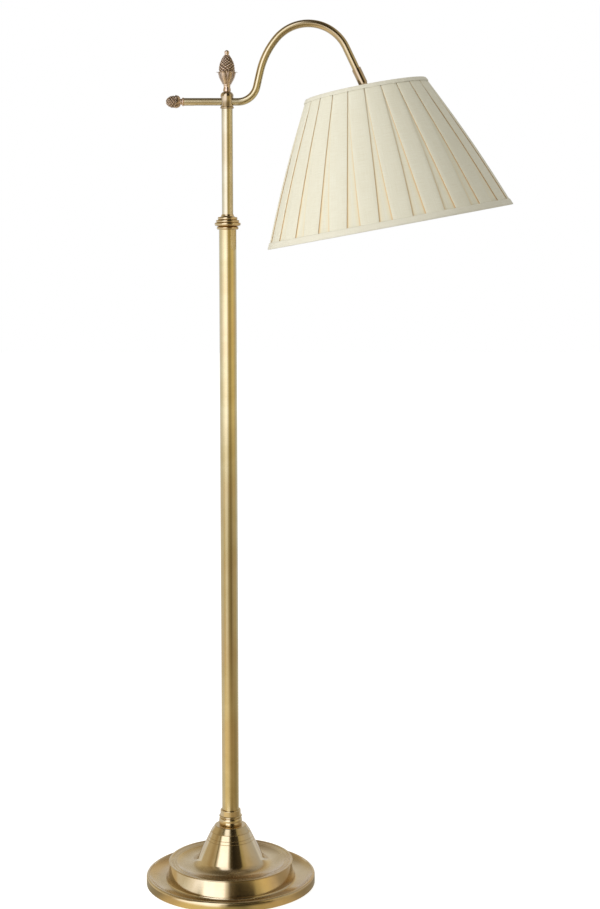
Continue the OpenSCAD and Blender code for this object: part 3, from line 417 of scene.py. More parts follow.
def cloth_material(name, colour, dark, thread):
    """Plain-woven slub cloth with painted light and shade at the pleats' folds. The UV map runs round the
    shade in x and down it in y, in metres.
    """
    material, n, sockets = new_material(
        name, colour, 0.0, 0.85, Sheen_Weight=0.25, Sheen_Roughness=0.5, Specular_IOR_Level=0.2)
    place, relief = n.out("UVMap", uv_map="cloth"), n.relief()
    axes = n.split(place)

    def stretched(along, down, rough=0.6):
        """Noise with this many waves to a metre along the cloth and down it."""
        scaled = n.out("VectorMath", {0: place, 1: (along, down, 1.0)}, operation="MULTIPLY")
        return n.noise(scaled, 1.0, 2.0, rough)

    warp, weft = (n.math("SINE", n.scaled(axes[i], 2 * pi / thread)) for i in (0, 1))
    weave = n.scaled(n.scaled(warp, weft), 0.5, 0.5)
    slubs, ribs, cloud = stretched(45.0, 2600.0), stretched(1900.0, 30.0), stretched(16.0, 10.0, 0.5)
    thick = n.scaled(slubs, 0.6, n.scaled(ribs, 0.4))
    tone = n.mix(n.scaled(n.ease(thick, 0.32, 0.62, 1, 0), 0.35), colour, dark)
    tone = n.mix(n.scaled(cloud, 0.25), tone, dark)
    # Painted light on the gaps' cloth and the folds' edges, then painted shade deep in the folds, both by the
    # relief mark
    tone = n.mix(n.ease(relief, 0.5, 0.93, 0.55, 0), tone, PAINTED_GAP_LIGHT)
    tone = n.mix(n.ease(relief, 0.0, 0.5, 1, 0), tone, PAINTED_FOLD_SHADE)
    n.feed(sockets, {"Base Color": tone, "Normal": n.bump(n.scaled(weave, 0.5, thick), 0.0002, 0.5)})
    return material


def cast_material(name, colour, second, scale, metallic, roughness, bumps, **inputs):
    """A material with one noise through its colour, roughness and surface."""
    material, n, sockets = new_material(name, colour, metallic, roughness, **inputs)
    cloud = n.noise(n.place(), scale, 3.0)
    tone, rough = n.mix(n.ease(cloud, 0.3, 0.7), colour, second), n.scaled(cloud, 0.12, roughness - 0.06)
    n.feed(sockets, {"Base Color": tone, "Roughness": rough})
    if bumps:
        n.feed(sockets, {"Normal": n.bump(cloud, bumps, 0.6)})
    return material


def make_materials():
    # Lit copies of the one brass, each tinted by its part's painted light
    made = {name: brass_material(name, True, tone) for name, tone in TURNED_BRASS_LIGHT.items()}
    made.update({name: brass_material(name, False, tone) for name, tone in DRAWN_BRASS_LIGHT.items()})
    made.update({name: cloth_material(name, *values) for name, values in CLOTHS.items()})
    made.update({name: cast_material(name, *values) for name, values in CASTS.items()})
    made["cast_bronze"] = bronze_material()
    made["pearl_glass"] = cast_material(
        "pearl_glass", (0.93, 0.93, 0.91), (0.88, 0.88, 0.86), 60, 0, 0.32, 0, Transmission_Weight=0.6)
    return made


# Geometry

def steps(first, last, n):
    return [first + (last - first) * i / n for i in range(n + 1)]


def circle(n):
    """The angles of n points round a circle, in radians."""
    return [2 * pi * j / n for j in range(n)]


def polar(r, angle, z):
    return (r * cos(angle), r * sin(angle), z)


def arc(cx, cz, r, start, end, n):
    return [(cx + r * cos(rad(a)), cz + r * sin(rad(a))) for a in steps(start, end, n)]


def beside(r, z, *offsets):
    """Points of an outline by their offsets from one point."""
    return [(r + out, z + up) for out, up in offsets]


def bead(r, low, h, n=16, deep=None):
    """A bead on a turned outline, half round or standing out by deep."""
    deep = h / 2 if deep is None else deep
    return [(r - deep + deep * cos(a), low + (1 + sin(a)) * h / 2)
            for a in (pi * (i / n - 0.5) for i in range(n + 1))]


def set_back(outline, d):
    """The outline moved by d to its left, as the spun sheet's other face."""
    points = [Vector(p) for p in outline]
    moved = []
    for before, p, after in zip(points[:1] + points, points, points[1:] + points[-1:]):
        along = ((p - before).normalized() + (after - p).normalized()).normalized()
        moved.append((p[0] - along[1] * d, p[1] + along[0] * d))
    return moved


class Shape:
    """Grids of points in millimetres, gathered into one mesh with a UV map and a relief value."""

    def __init__(self):
        self.points, self.faces, self.uvs, self.relief = [], [], [], []

    def grid(self, rows, loop=False, ends=(None, None), relief=None, uv=None):
        """Quads between closed rows. loop joins the last row to the first, ends close them to a point."""
        base, count = len(self.points), len(rows[0])
        along = [0.0]
        for a, b in zip(rows, rows[1:] + rows[:1]):
            along.append(along[-1] + (Vector(a[0]) - Vector(b[0])).length * MM)
        for k, row in enumerate(rows):
            self.points += [tuple(p) for p in row]
            self.relief += relief[k] if relief else [1.0] * count

        def place(k, j):
            return uv(k, j) if uv else (j / count, along[k])

        for k in range(len(rows) - (0 if loop else 1)):
            low, high = base + k * count, base + (k + 1) % len(rows) * count
            for j in range(count):
                side = (j + 1) % count
                self.faces.append((low + j, low + side, high + side, high + j))
                self.uvs.append((place(k, j), place(k, j + 1), place(k + 1, j + 1), place(k + 1, j)))
        for end, k in zip(ends, (0, len(rows) - 1)):
            if end is None:
                continue
            row = base + k * count
            self.points.append(tuple(end))
            self.relief.append(self.relief[row])
            for j in range(count):
                self.faces.append((len(self.points) - 1, row + (j + 1) % count, row + j))
                self.uvs.append((place(k, j), place(k, j + 1), place(k, j)))
        return self

    def lathe(self, outline, segments=96, carve=None):
        """A turned outline of (radius, height). One that starts and ends on the axis is closed there."""
        solid = outline[0][0] == 0 and outline[-1][0] == 0
        ends = ((0, 0, outline[0][1]), (0, 0, outline[-1][1])) if solid else (None, None)
        rows = []
        for r, z in outline[1:-1] if solid else outline:
            carved = [(a, carve(a, r, z) if carve else (r, z)) for a in circle(segments)]
            rows.append([polar(size, a, height) for a, (size, height) in carved])
        return self.grid(rows, loop=not solid, ends=ends)

    def sweep(self, path, r, sides=16, inner=0.0):
        """A round bar along a path, or a tube if inner is given."""
        path = [Vector(p) for p in path]
        across = Vector((0, 1, 0))
        rows = []
        for i, p in enumerate(path):
            along = (path[min(i + 1, len(path) - 1)] - path[max(i - 1, 0)]).normalized()
            if abs(along.dot(across)) > 0.98:
                across = Vector((1, 0, 0))
            across = (across - along * across.dot(along)).normalized()
            up = along.cross(across)
            rows.append([across * cos(a) + up * sin(a) for a in circle(sides)])

        def sized(size):
            return [[p + spoke * size for spoke in row] for p, row in zip(path, rows)]

        if inner:
            return self.grid(sized(r) + sized(inner)[::-1], loop=True)
        return self.grid(sized(r), ends=(path[0], path[-1]))

    def build(self, name, node, body, slot="antique_brass", finish=None, place=Matrix(), sharp=40):
        """Makes the object in metres, rides it on its body and hides the node that it stands for."""
        mesh = bpy.data.meshes.new(name)
        mesh.from_pydata([place @ Vector(p) * MM for p in self.points], [], self.faces)
        layer = mesh.uv_layers.new(name="cloth")
        for polygon, corners in zip(mesh.polygons, self.uvs):
            for loop, corner in zip(polygon.loop_indices, corners):
                layer.data[loop].uv = corner
        values = mesh.attributes.new("relief", "FLOAT", "POINT")
        values.data.foreach_set("value", self.relief)
        mesh.validate()
        obj = new_object(name, mesh)
        face_outwards(obj, sharp)
        mesh.materials.append(MATERIALS[finish or SLOT_FINISH[slot]])
        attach(obj, body)
        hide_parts(node)
        return obj


def face_outwards(obj, sharp):
    """Faces outwards, smooth but for edges that bend more than sharp degrees."""
    work = bmesh.new()
    work.from_mesh(obj.data)
    bmesh.ops.recalc_face_normals(work, faces=work.faces)
    work.to_mesh(obj.data)
    work.free()
    obj.data.shade_smooth()
    obj.data.set_sharp_from_angle(angle=rad(sharp))


def cut(obj, cutter, sharp=40):
    """Takes the cutter's solid out of the object's mesh and keeps the result in a new mesh."""
    tool = new_object("cutter", bpy.data.meshes.new("cutter"))
    tool.data.from_pydata([Vector(p) * MM for p in cutter.points], [], cutter.faces)
    face_outwards(tool, 30)
    modifier = obj.modifiers.new("cut", "BOOLEAN")
    modifier.operation, modifier.solver, modifier.object = "DIFFERENCE", "EXACT", tool
    done = bpy.data.meshes.new_from_object(obj.evaluated_get(bpy.context.evaluated_depsgraph_get()))
    obj.modifiers.clear()
    obj.data = done
    done.name = obj.name
    done.set_sharp_from_angle(angle=rad(sharp))
    bpy.data.objects.remove(tool, do_unlink=True)


def block(low, high):
    """A box between two corners, for cutting."""
    (x0, y0, z0), (x1, y1, z1) = low, high
    rows = [[(x0, y0, z), (x1, y0, z), (x1, y1, z), (x0, y1, z)] for z in (z0, z1)]
    middle = ((x0 + x1) / 2, (y0 + y1) / 2)
    return Shape().grid(rows, ends=((*middle, z0), (*middle, z1)))


# The arm's centre line

def walk_arm():
    """Points of the arm's axis in the XZ plane, and the pivot and heading at its end."""
    straight_step, turn_step = 8, 2.5
    x, z, a = -BAR_BACK, ARM_Z, 0.0
    path = [(x, z)]
    for size, turn in ((BAR_BACK + BAR_AHEAD, 0), *ARCH):
        if turn:
            side, count = copysign(size, turn), int(abs(turn) / turn_step) + 1
            cx, cz = x - side * sin(rad(a)), z + side * cos(rad(a))
            path += [(cx + side * sin(rad(b)), cz - side * cos(rad(b)))
                     for b in steps(a, a + turn, count)[1:]]
        else:
            path += [(x + s * cos(rad(a)), z + s * sin(rad(a)))
                     for s in steps(0, size, max(int(size / straight_step), 2))[1:]]
        a += turn
        x, z = path[-1]
    pivot = (x + DROP * cos(rad(a)), z + DROP * sin(rad(a)))
    return path, pivot, a


ARM_PATH, PIVOT, DROP_HEADING = walk_arm()


def from_pivot(tilt):
    """Places a piece whose axis runs down from the knuckle's pivot."""
    return Matrix.Translation((PIVOT[0], 0, PIVOT[1])) @ Matrix.Rotation(rad(-tilt), 4, "Y")


SLEEVE_TILT = 90 + DROP_HEADING
HOLDER_PLACE = from_pivot(TILT)
SHADE_PLACE = HOLDER_PLACE @ Matrix.Translation((0, 0, -SHADE_DROP))


# Base and column

def rim_and_dish(seen):
    """The cover's rolled rim, the dish inside it and the cove up to the ring's wall."""
    edge_r, mid_r = BASE_R - RIM_ROLL - 1.6, RING_WALL_R + 14

    def dish(r):
        return DISH_H + (RIM_H - 1 - DISH_H) * ((r - mid_r) / (edge_r - mid_r)) ** 2

    cove = SEEN_COVE if seen else COVE
    cove_r = RING_WALL_R + cove + (WALL_LEAN if seen else 0)
    points = [(BASE_R, RIM_GAP), (BASE_R, 4)]
    points += arc(BASE_R - RIM_ROLL, RIM_H - RIM_ROLL, RIM_ROLL, 0, 112 if seen else 116, 18)
    points += [(r, dish(r)) for r in steps(edge_r if seen else edge_r - 3, cove_r, 20)]
    return points + arc(cove_r, dish(cove_r) + cove, cove, 258, 195 if seen else 180, 14)


def ring_edge(seen):
    """The raised ring's top edge: a thin lip and fine grooves when seen, a plain bead on the other face."""
    if not seen:
        back = RING_BACK - 1.5
        low = -degrees(acos(-(back - RING_BEAD) / RING_BEAD))
        return arc(RING_WALL_R + back - RING_BEAD, RING_H - RING_BEAD, RING_BEAD, low, 112, 22)
    lip_r = 1.05
    points = beside(RING_WALL_R, RING_H, (0, -2.9), (0.35, -2.45)) + [(RING_R - 1.4, RING_H - 2.25)]
    points += arc(RING_R - lip_r, RING_H - 1.2, lip_r, -92, 84, 12)
    points += beside(RING_R, RING_H, (-3.4, -0.15), (-4.6, -0.75))
    groove = ((0.5, 0.02), (0.15, -0.32), (-0.15, -0.32), (-0.5, -0.04))
    for back, down in RING_GROOVES:
        points += beside(RING_R - back, RING_H - down, *groove)
    return points


def cone_side(z):
    return CONE_TOP_R + SHOULDER * 0.4 + tan(rad(CONE_ANGLE)) * (CONE_TOP_H - z)


def inner_dish_and_cone(seen):
    """The shallow dish inside the ring and the cone with its flat top; the seen face has the cone's lines."""
    inner_r, inner_z = RING_R - 14, RING_H - 2.2
    foot_z = INNER_DISH_H + CONE_FOOT * (1 - sin(rad(CONE_ANGLE)))
    low_r = cone_side(foot_z) + CONE_FOOT * cos(rad(CONE_ANGLE))
    rise, run = inner_z - INNER_DISH_H, inner_r - low_r
    sweep_r = (run ** 2 + rise ** 2) / (2 * rise)
    start = 270 + degrees(asin(run / sweep_r))
    points = arc(low_r, INNER_DISH_H + sweep_r, sweep_r, start, 270, 16)
    points += arc(low_r, INNER_DISH_H + CONE_FOOT, CONE_FOOT, 266, 180 + CONE_ANGLE, 20)
    for down in CONE_LINES[::-1] if seen else ():
        for up, deep in ((-LINE_DEPTH, 0), (0, LINE_DEPTH), (LINE_DEPTH, 0)):
            z = CONE_TOP_H - down + up
            points.append((cone_side(z) - deep, z))
    points += arc(CONE_TOP_R - SHOULDER, CONE_TOP_H - SHOULDER, SHOULDER, CONE_ANGLE, 90, 9)
    return points + [(NIPPLE_HOLE, CONE_TOP_H)]


def make_base_cover():
    """The spun cover, from its rim's lower edge up and in to the cone's top and back along its other face."""
    outside, inside = (rim_and_dish(seen) + ring_edge(seen) + inner_dish_and_cone(seen)
                       for seen in (True, False))
    cover = Shape().lathe(outside + set_back(inside, COVER_WALL)[::-1], 192).build(
        "spun_cover", "base_cover", "base", finish="spun_brass", sharp=28)
    hole = Shape().sweep([(0, BASE_R - 8, INLET_Z), (0, BASE_R + 4, INLET_Z)], INLET_R + 1.25, 32)
    cut(cover, hole, 28)


def make_grommet():
    flange, back = min(INLET_Z - RIM_GAP, INLET_R + 1.9), GROMMET_BACK
    outline = beside(INLET_R, 0, (0, 0.5), (0.5, 0), (1.2, 0), (1.2, back + RUN))
    outline += beside(flange, back, (0, RUN), (0, 0.7), (-0.5, 1.2))
    outline += beside(INLET_R, back, (0.4, 1.2), (0, 0.8))
    place = Matrix.Translation((0, BASE_R - back, INLET_Z)) @ Matrix.Rotation(rad(-90), 4, "X")
    Shape().lathe(outline, 48).build("inlet_grommet", "cord_grommet", "base", "grommet_rubber", place=place)


def make_foot_collar():
    """The turned collar on the cone: a tall bead, a groove, a small bead and a neck."""
    groove, top, edge = CONE_TOP_H + 12.6, CONE_TOP_H + FOOT_H, 1.2
    outline = [(NIPPLE_HOLE, CONE_TOP_H)] + bead(FOOT_R, CONE_TOP_H, groove - CONE_TOP_H, 24, 1.7)
    outline += beside(FOOT_R, groove, (-1.7, 0.9)) + bead(FOOT_R - 0.2, groove + 1, 3.2, 12)
    outline += beside(FOOT_R, groove, (-1.8, 4.4), (-2.1, 7)) + [(FOOT_R - 2.4, top - edge)]
    outline += arc(FOOT_R - 3.6, top - edge, edge, 10, 90, 6)
    outline += [(LOWER_R + RUN, top), (LOWER_R + RUN, LOWER_BOTTOM), (NIPPLE_HOLE, LOWER_BOTTOM)]
    Shape().lathe(outline).build("foot_collar", "base_collar", "base", finish="spun_brass")


def tube_outline(r, wall, low, high):
    """A tube with softened end edges and a few rows, so that its lines stay even."""
    soft, rows = 0.35, 8
    return (beside(r, low, (-wall, 0), (-soft, 0), (0, soft)) + [(r, z) for z in steps(low, high, rows)[1:-1]]
            + beside(r, high, (0, -soft), (-soft, 0), (-wall, 0)))


def make_tubes():
    Shape().lathe(tube_outline(LOWER_R, LOWER_WALL, LOWER_BOTTOM, LOWER_TOP)).build(
        "lower_column", "lower_tube", "base", finish="column_brass")
    guide_low = LOWER_TOP - TRAVEL_UP - 2 - GUIDE_LEN
    Shape().lathe(tube_outline(UPPER_R, UPPER_WALL, guide_low, HEAD_Z)).build(
        "upper_column", "upper_tube", "mast", finish="mast_brass")


def make_ferrule():
    """The ferrule on the lower tube, with the thread on which the clamp's cap turns."""
    pitch, crest, half = 1.0, 0.35, 0.3
    low, top = FERRULE_LOW + FERRULE_H, CAVITY_TOP - 1.6
    outline = [(LOWER_R + RUN, FERRULE_LOW)] + bead(FERRULE_R, FERRULE_LOW, FERRULE_H, 20)
    count = int((top - low) / pitch)
    for i in range(count):
        z = low + (top - low) * (i + 0.5) / count
        outline += beside(THREAD_R, z, (-crest, -half), (0, 0), (-crest, half))
    outline += [(THREAD_R - 0.4, top), (GRIP_R + RUN, top), (GRIP_R + RUN, GRIP_LOW)]
    outline += [(PASS_R, GRIP_LOW), (PASS_R, LOWER_TOP), (LOWER_R + RUN, LOWER_TOP)]
    Shape().lathe(outline).build("clamp_ferrule", "collar_ferrule", "base", finish="spun_brass")


def make_clamp_cap():
    low = FERRULE_LOW + FERRULE_H + PASS
    z, hollow = low + 1.1, CAP_NECK - 0.4
    outline = [(THREAD_R + RUN, low), (CAP_RINGS[0] - 3.4, low)]
    for r, h in zip(CAP_RINGS, CAP_RING_H):
        outline += bead(r, z, h, 24, CAP_GROOVE)
        z += h
    outline += arc(PASS_R + 4.2, z + hollow, hollow, 250, 180, 9)
    outline += [(PASS_R, z + CAP_NECK), (PASS_R, CAVITY_TOP), (THREAD_R + RUN, CAVITY_TOP)]
    Shape().lathe(outline).build("clamp_cap_rings", "collar_cap", "clamp_cap", finish="spun_brass")


def make_head():
    """The head, bored up its axis for the cord and across for the arm's bush."""
    bead_h, dome, cord_r, stud_r = 3.2, 6.6, 3.2, STUD_R + RUN
    spigot_r, bush_r = UPPER_R - UPPER_WALL - RUN, ARM_R + 2 * RUN + 1.5
    outline = [(cord_r, HEAD_Z - SPIGOT), (spigot_r, HEAD_Z - SPIGOT), (spigot_r, HEAD_Z)]
    outline += [(HEAD_R - 0.4, HEAD_Z)] + arc(HEAD_R - 0.9, HEAD_Z + bead_h / 2, bead_h / 2, -70, 70, 12)
    outline += [(HEAD_R, HEAD_Z + bead_h + 0.4)] + arc(HEAD_R - dome, HEAD_TOP - dome, dome, 0, 72, 14)
    outline += [(HEAD_R - dome + 1.4, HEAD_TOP), (stud_r, HEAD_TOP), (stud_r, ARM_Z), (cord_r, ARM_Z)]
    head = Shape().lathe(outline, 128).build("arm_head", "head_block", "mast", finish="head_brass")
    cut(head, Shape().sweep([(-30, 0, ARM_Z), (30, 0, ARM_Z)], bush_r, 64))


# Carved finials

def scales(columns, k, angle):
    """Height of overlapping pine-cone scales, from 0 in the grooves to 1 on the tips."""
    u = columns * angle / (2 * pi)
    u += 0.10 * sin(3 * angle + 1.7 * k) + 0.06 * sin(7 * angle - 2.3 * k)
    k += 0.12 * sin(2 * angle + 1.1 * k) + 0.08 * sin(5 * angle + 0.7 * k)
    p, q = (k + u) % 1.0, (k - u) % 1.0
    diamond = (1 - abs(2 * p - 1)) * (1 - abs(2 * q - 1))
    lean = 0.5 + 0.5 * cos(pi * ((p + q) / 2 - 0.42) * 2)
    return min(1.0, diamond ** 0.45 * (0.55 + 0.45 * lean))


def carve_cone(shape, profile, rows, columns, depth, tip):
    """A scaled body of revolution; profile(t) gives (radius, height) from its foot to its tip."""
    segments, per_row, full_r = 120, 8, 5.0
    grid, relief = [], []
    for t in steps(0, 1, rows * per_row):
        r, z = profile(t)
        fade = depth * min(1.0, r / full_r)
        marks = [scales(columns, t * rows, a) for a in circle(segments)]
        grid.append([polar(r - fade * (1 - high) + 0.25 * fade * high, a, z + depth * 0.35 * high)
                     for a, high in zip(circle(segments), marks)])
        relief.append(marks)
    shape.grid(grid, ends=((0, 0, profile(0)[1]), tip), relief=relief)


def leaf(shape, turn, spine, width, bulge, curl):
    """One cupped leaf with a midrib. spine is a list of (radius, height) from its foot to its tip."""
    across, thick, rib_w, rib_h, vein_h = 12, 0.9, 0.16, 0.55, 0.22
    rows, marks = [], []
    for k, (r, z) in enumerate(spine):
        t = k / (len(spine) - 1)
        half = width * (sin(pi * (0.18 + 0.62 * t)) ** 0.8) * (1 - t ** 5) + 0.12
        row, mark = [], []
        for side in steps(-1, 1, across):
            scallop = 1 + 0.07 * cos(t * 26) * abs(side)
            rib = exp(-(side / rib_w) ** 2)
            vein = 0.5 + 0.5 * cos(9 * pi * (abs(side) * 0.8 + t * 1.3))
            size = r + bulge * (1 - side * side) + rib_h * rib - vein_h * vein * (1 - rib)
            size += curl * abs(side) ** 3 * t
            row.append(polar(size, turn + half * scallop * side / max(r, 1.0), z))
            mark.append(min(1.0, 0.35 + 0.65 * rib + 0.35 * (1 - vein)) * (1 - 0.5 * abs(side) ** 4))
        inward = 1 - thick / max(r, 2)
        back = [(p[0] * inward, p[1] * inward, p[2] - 0.1) for p in row[::-1]]
        rows.append(row + back)
        marks.append(mark + [0.1] * len(back))

    def centre(row):
        return tuple(sum(p[i] for p in row) / len(row) for i in range(3))

    shape.grid(rows, relief=marks, ends=(centre(rows[0]), centre(rows[-1])))


def make_clamp_finial():
    """The pineapple: its stud, neck, core and button, the scaled cone and two rounds of cupped leaves."""
    neck_base = HEAD_TOP + PASS
    cup_base = neck_base + NECK_H
    tips_z = cup_base + CUP_H
    cone_tip = tips_z + CONE_H
    stud_low = ARM_Z + ARM_R + RUN + 1.5 + PASS
    button_z = cone_tip + BUTTON_R * 0.62
    neck_curve = 5.4

    core = [(0, stud_low), (STUD_R, stud_low), (STUD_R, neck_base)]
    core += beside(NECK_R, neck_base, (0.9, 0), (1.1, 0.4), (1.0, 0.9))
    core += arc(NECK_R + neck_curve, neck_base + NECK_H * 0.62, neck_curve, 205, 155, 16)
    core += [(NECK_R + 0.5, cup_base + 1.5)]
    core += beside(CUP_R, cup_base, (-4.6, CUP_H * 0.5), (-2.4, CUP_H * 0.8))
    core += beside(CUP_R, tips_z, (-2.0, -0.6), (-4, 0.4))
    core += beside(BUTTON_R, cone_tip, (-1.2, -4), (-0.4, -1), (-0.7, 0))
    core += arc(0, button_z, BUTTON_R, -20, 84, 14) + [(0, button_z + BUTTON_R)]
    shape = Shape().lathe(core, 64)

    def profile(t):
        size = CONE_R * max(1 - (t * 0.97) ** 2.2, 0) + BUTTON_R * 0.55 * t
        return size, tips_z - 0.6 + (CONE_H + 0.4) * t

    carve_cone(shape, profile, 6, 11, 1.5, (0, 0, cone_tip))

    spine = beside(NECK_R, 0, (0.1, 0), (0.9, 0.10), (2.3, 0.22), (4.0, 0.38), (5.5, 0.54))
    spine += beside(CUP_R, 0, (-1.0, 0.70), (-0.4, 0.84), (0.1, 0.94), (1.1, 0.995), (2.2, 1.0))
    spine += [(CUP_R + TIP_FLARE + 0.6, 0.97)]
    outer = [(r, cup_base + CUP_H * t) for r, t in spine]
    inner = [(r - 0.9, cup_base + CUP_H * t + 0.8) for r, t in spine[:-2]] + [(CUP_R + 0.4, tips_z + 1.4)]
    for i in range(CUP_LEAVES):
        leaf(shape, rad(360 / CUP_LEAVES * (i + 0.5)), inner, 5.2, 0.3, 0.2)
        leaf(shape, rad(360 / CUP_LEAVES * i), outer, 6.4, 0.9, -0.6)
    shape.build("pineapple_finial", "clamp_finial", "finial", "finial_bronze", sharp=60)


def make_end_finial():
    """The carved finial on the bar's end, with its plug in the tube, its collar and its sheath of leaves."""
    flange, collar, plug_r, plug_len = 3.4, 3.6, ARM_R - ARM_WALL - RUN, 10
    foot, top = flange + collar - 1, flange + collar
    core = [(0, -plug_len), (plug_r, -plug_len), (plug_r, 0), (ARM_R + 0.4, 0)]
    core += arc(ARM_R - 0.9, flange / 2, flange / 2, -60, 60, 8)
    core += beside(ARM_R, flange, (-0.3, 0), (-1.2, 0.8), (-1.4, 2.2), (-0.4, 3.2))
    core += beside(ARM_R, top, (0.4, 0), (-1, 2)) + [(0, top + 8)]
    shape = Shape().lathe(core, 64)

    def profile(t):
        size = END_R * sqrt(max(sin(pi * (0.13 + 0.84 * t ** 1.15)), 0))
        return size, foot + END_LEN * t * 0.98

    carve_cone(shape, profile, 5, 9, 1.3, (0, 0, foot + END_LEN))
    sheath = [(5.2, 0.0), (6.6, 0.8), (7.9, 2.0), (8.8, 3.6), (9.3, 5.4), (9.7, 7.0), (9.9, 8.2)]
    for turn in circle(SHEATH_LEAVES):
        leaf(shape, turn, [(r * END_R / 9.7, foot + z) for r, z in sheath], 4.4, 0.3, -0.4)
    place = Matrix.Translation((-BAR_BACK, 0, ARM_Z)) @ Matrix.Rotation(rad(-90), 4, "Y")
    shape.build("bar_finial", "arm_end_finial", "arm", "finial_bronze", place=place, sharp=60)


# Arm, sleeve and knuckle

def make_arm():
    """The bent tube, with the cord's slot under its bar."""
    end, heading, rest = ARM_PATH[-1], rad(DROP_HEADING), steps(0, DROP - TUBE_STOP, 6)[1:]
    drop = [(end[0] + cos(heading) * s, end[1] + sin(heading) * s) for s in rest]
    path = [(x, 0, z) for x, z in ARM_PATH + drop]
    arm = Shape().sweep(path, ARM_R, 64, ARM_R - ARM_WALL).build(
        "swan_neck", "arm_tube", "arm", finish="arm_brass")
    back, ahead = -SLIDE_OUT - 4.2, SLIDE_IN + 4.2
    cut(arm, block((back, -SLOT_W / 2, ARM_Z - ARM_R - 1), (ahead, SLOT_W / 2, ARM_Z - 1)))


def make_knuckle():
    """A slotted screw; the sleeve, tang and nut keep their CAD shape with softened edges."""
    head_t, head_r, ear_out, end = 2.2, 2 * PIVOT_R, TANG_T / 2 + PASS + EAR_T, 2.6
    slot_w, slot_deep = 0.9, 0.9
    outline = [(0, -ear_out - end)] + beside(PIVOT_R, -ear_out - end, (-0.4, 0), (0, 0.4))
    outline += [(PIVOT_R, ear_out)] + beside(head_r, ear_out, (-0.2, 0), (0, 0.2), (0, head_t - 1))
    outline += arc(PIVOT_R, ear_out + head_t - 2, 2, 30, 80, 8) + [(0, ear_out + head_t)]
    place = from_pivot(SLEEVE_TILT) @ Matrix.Rotation(rad(90), 4, "X")
    screw = Shape().lathe(outline, 48).build("slotted_screw", "knuckle_screw", "arm", place=place)
    slot = block((-slot_w / 2, -6, ear_out + head_t - slot_deep), (slot_w / 2, 6, ear_out + head_t + 2))
    slot.points = [tuple(place @ Vector(p)) for p in slot.points]
    cut(screw, slot)
    for name in ("arm_sleeve", "knuckle_tang", "knuckle_nut"):
        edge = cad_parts[name].modifiers.new("soft_edges", "BEVEL")
        edge.width, edge.segments, edge.limit_method, edge.angle_limit = 0.0003, 2, "ANGLE", rad(50)


# Lamp holder and fittings

def make_holder_cap():
    stem_r, inside, top, low = 4.95, HOLDER_CAP_R - 1.5, -HOLDER_DROP, -CAP_END
    neck, dome, hollow = stem_r + 2.8, 6, 4.4
    cap = beside(stem_r + RUN, top, (0, 0), (0, -7.5)) + beside(inside, top, (-5, -10), (0, -14))
    cap += [(inside, low)]
    cap += beside(HOLDER_CAP_R, low, (-0.2, 0), (0, 0.3), (0, 2.4), (-0.5, 2.8), (-0.5, 3.4), (0, 3.8))
    cap += arc(HOLDER_CAP_R - dome, top - 13.5, dome, 0, 70, 12)
    cap += arc(neck + hollow, top - 2.2, hollow, 262, 180, 9) + beside(neck, top, (0, -0.3), (-0.3, 0))
    Shape().lathe(cap).build("holder_cap_turned", "holder_cap", "shade", place=HOLDER_PLACE)


def make_skirt():
    """The threaded skirt, whose upper end screws into the cap."""
    wall, pitch, depth, row_h, soft = 1.5, 2.2, 0.55, 0.36, 0.3
    thread_out, inside = HOLDER_CAP_R - wall - RUN, SKIRT_R - wall
    threaded = steps(0, SKIRT_H - 2 * soft, int((SKIRT_H - 2 * soft) / row_h))
    outline = [(inside, -SKIRT_END), (SKIRT_R - soft, -SKIRT_END)]
    outline += [(SKIRT_R, -SKIRT_END + soft + up) for up in threaded]
    outline += beside(thread_out, -CAP_END, (0, 0), (0, 8), (-wall, 8), (-wall, -1.5))
    outline += [(inside, -CAP_END - 4)]

    def thread(a, r, z):
        if r != SKIRT_R:
            return r, z
        turn = (z / pitch + a / (2 * pi)) % 1.0
        return r - depth * (1 - abs(2 * turn - 1)), z

    Shape().lathe(outline, 72, thread).build(
        "threaded_skirt", "holder_skirt", "shade", place=HOLDER_PLACE, sharp=30)


def make_shade_rings():
    """Two knurled rings on the skirt that hold the shade's spider between them."""
    knurls, depth, soft, spider_gap = 60, 0.3, 0.8, 2

    def knurl(a, r, z):
        return (r - depth * (0.5 + 0.5 * cos(knurls * a)), z) if r >= SHADE_RING_R - 0.2 else (r, z)

    for name, low in (("upper", RINGS_DROP), ("lower", RINGS_DROP + spider_gap + SHADE_RING_T)):
        high = low - SHADE_RING_T
        ring = [(SKIRT_R + RUN, -low)] + beside(SHADE_RING_R, -low, (-soft, 0), (0, soft))
        ring += beside(SHADE_RING_R, -high, (0, -soft), (-soft, 0)) + [(SKIRT_R + RUN, -high)]
        Shape().lathe(ring, 4 * knurls, knurl).build(
            "knurled_ring_" + name, "shade_ring_" + name, "shade", place=HOLDER_PLACE, sharp=30)


def wall_r(s):
    return TOP_R + (BOTTOM_R - TOP_R) * s / SHADE_H


def cover_r(s):
    return wall_r(s) + SWELL * sin(pi * min(max(s, 0), SHADE_H) / SHADE_H)


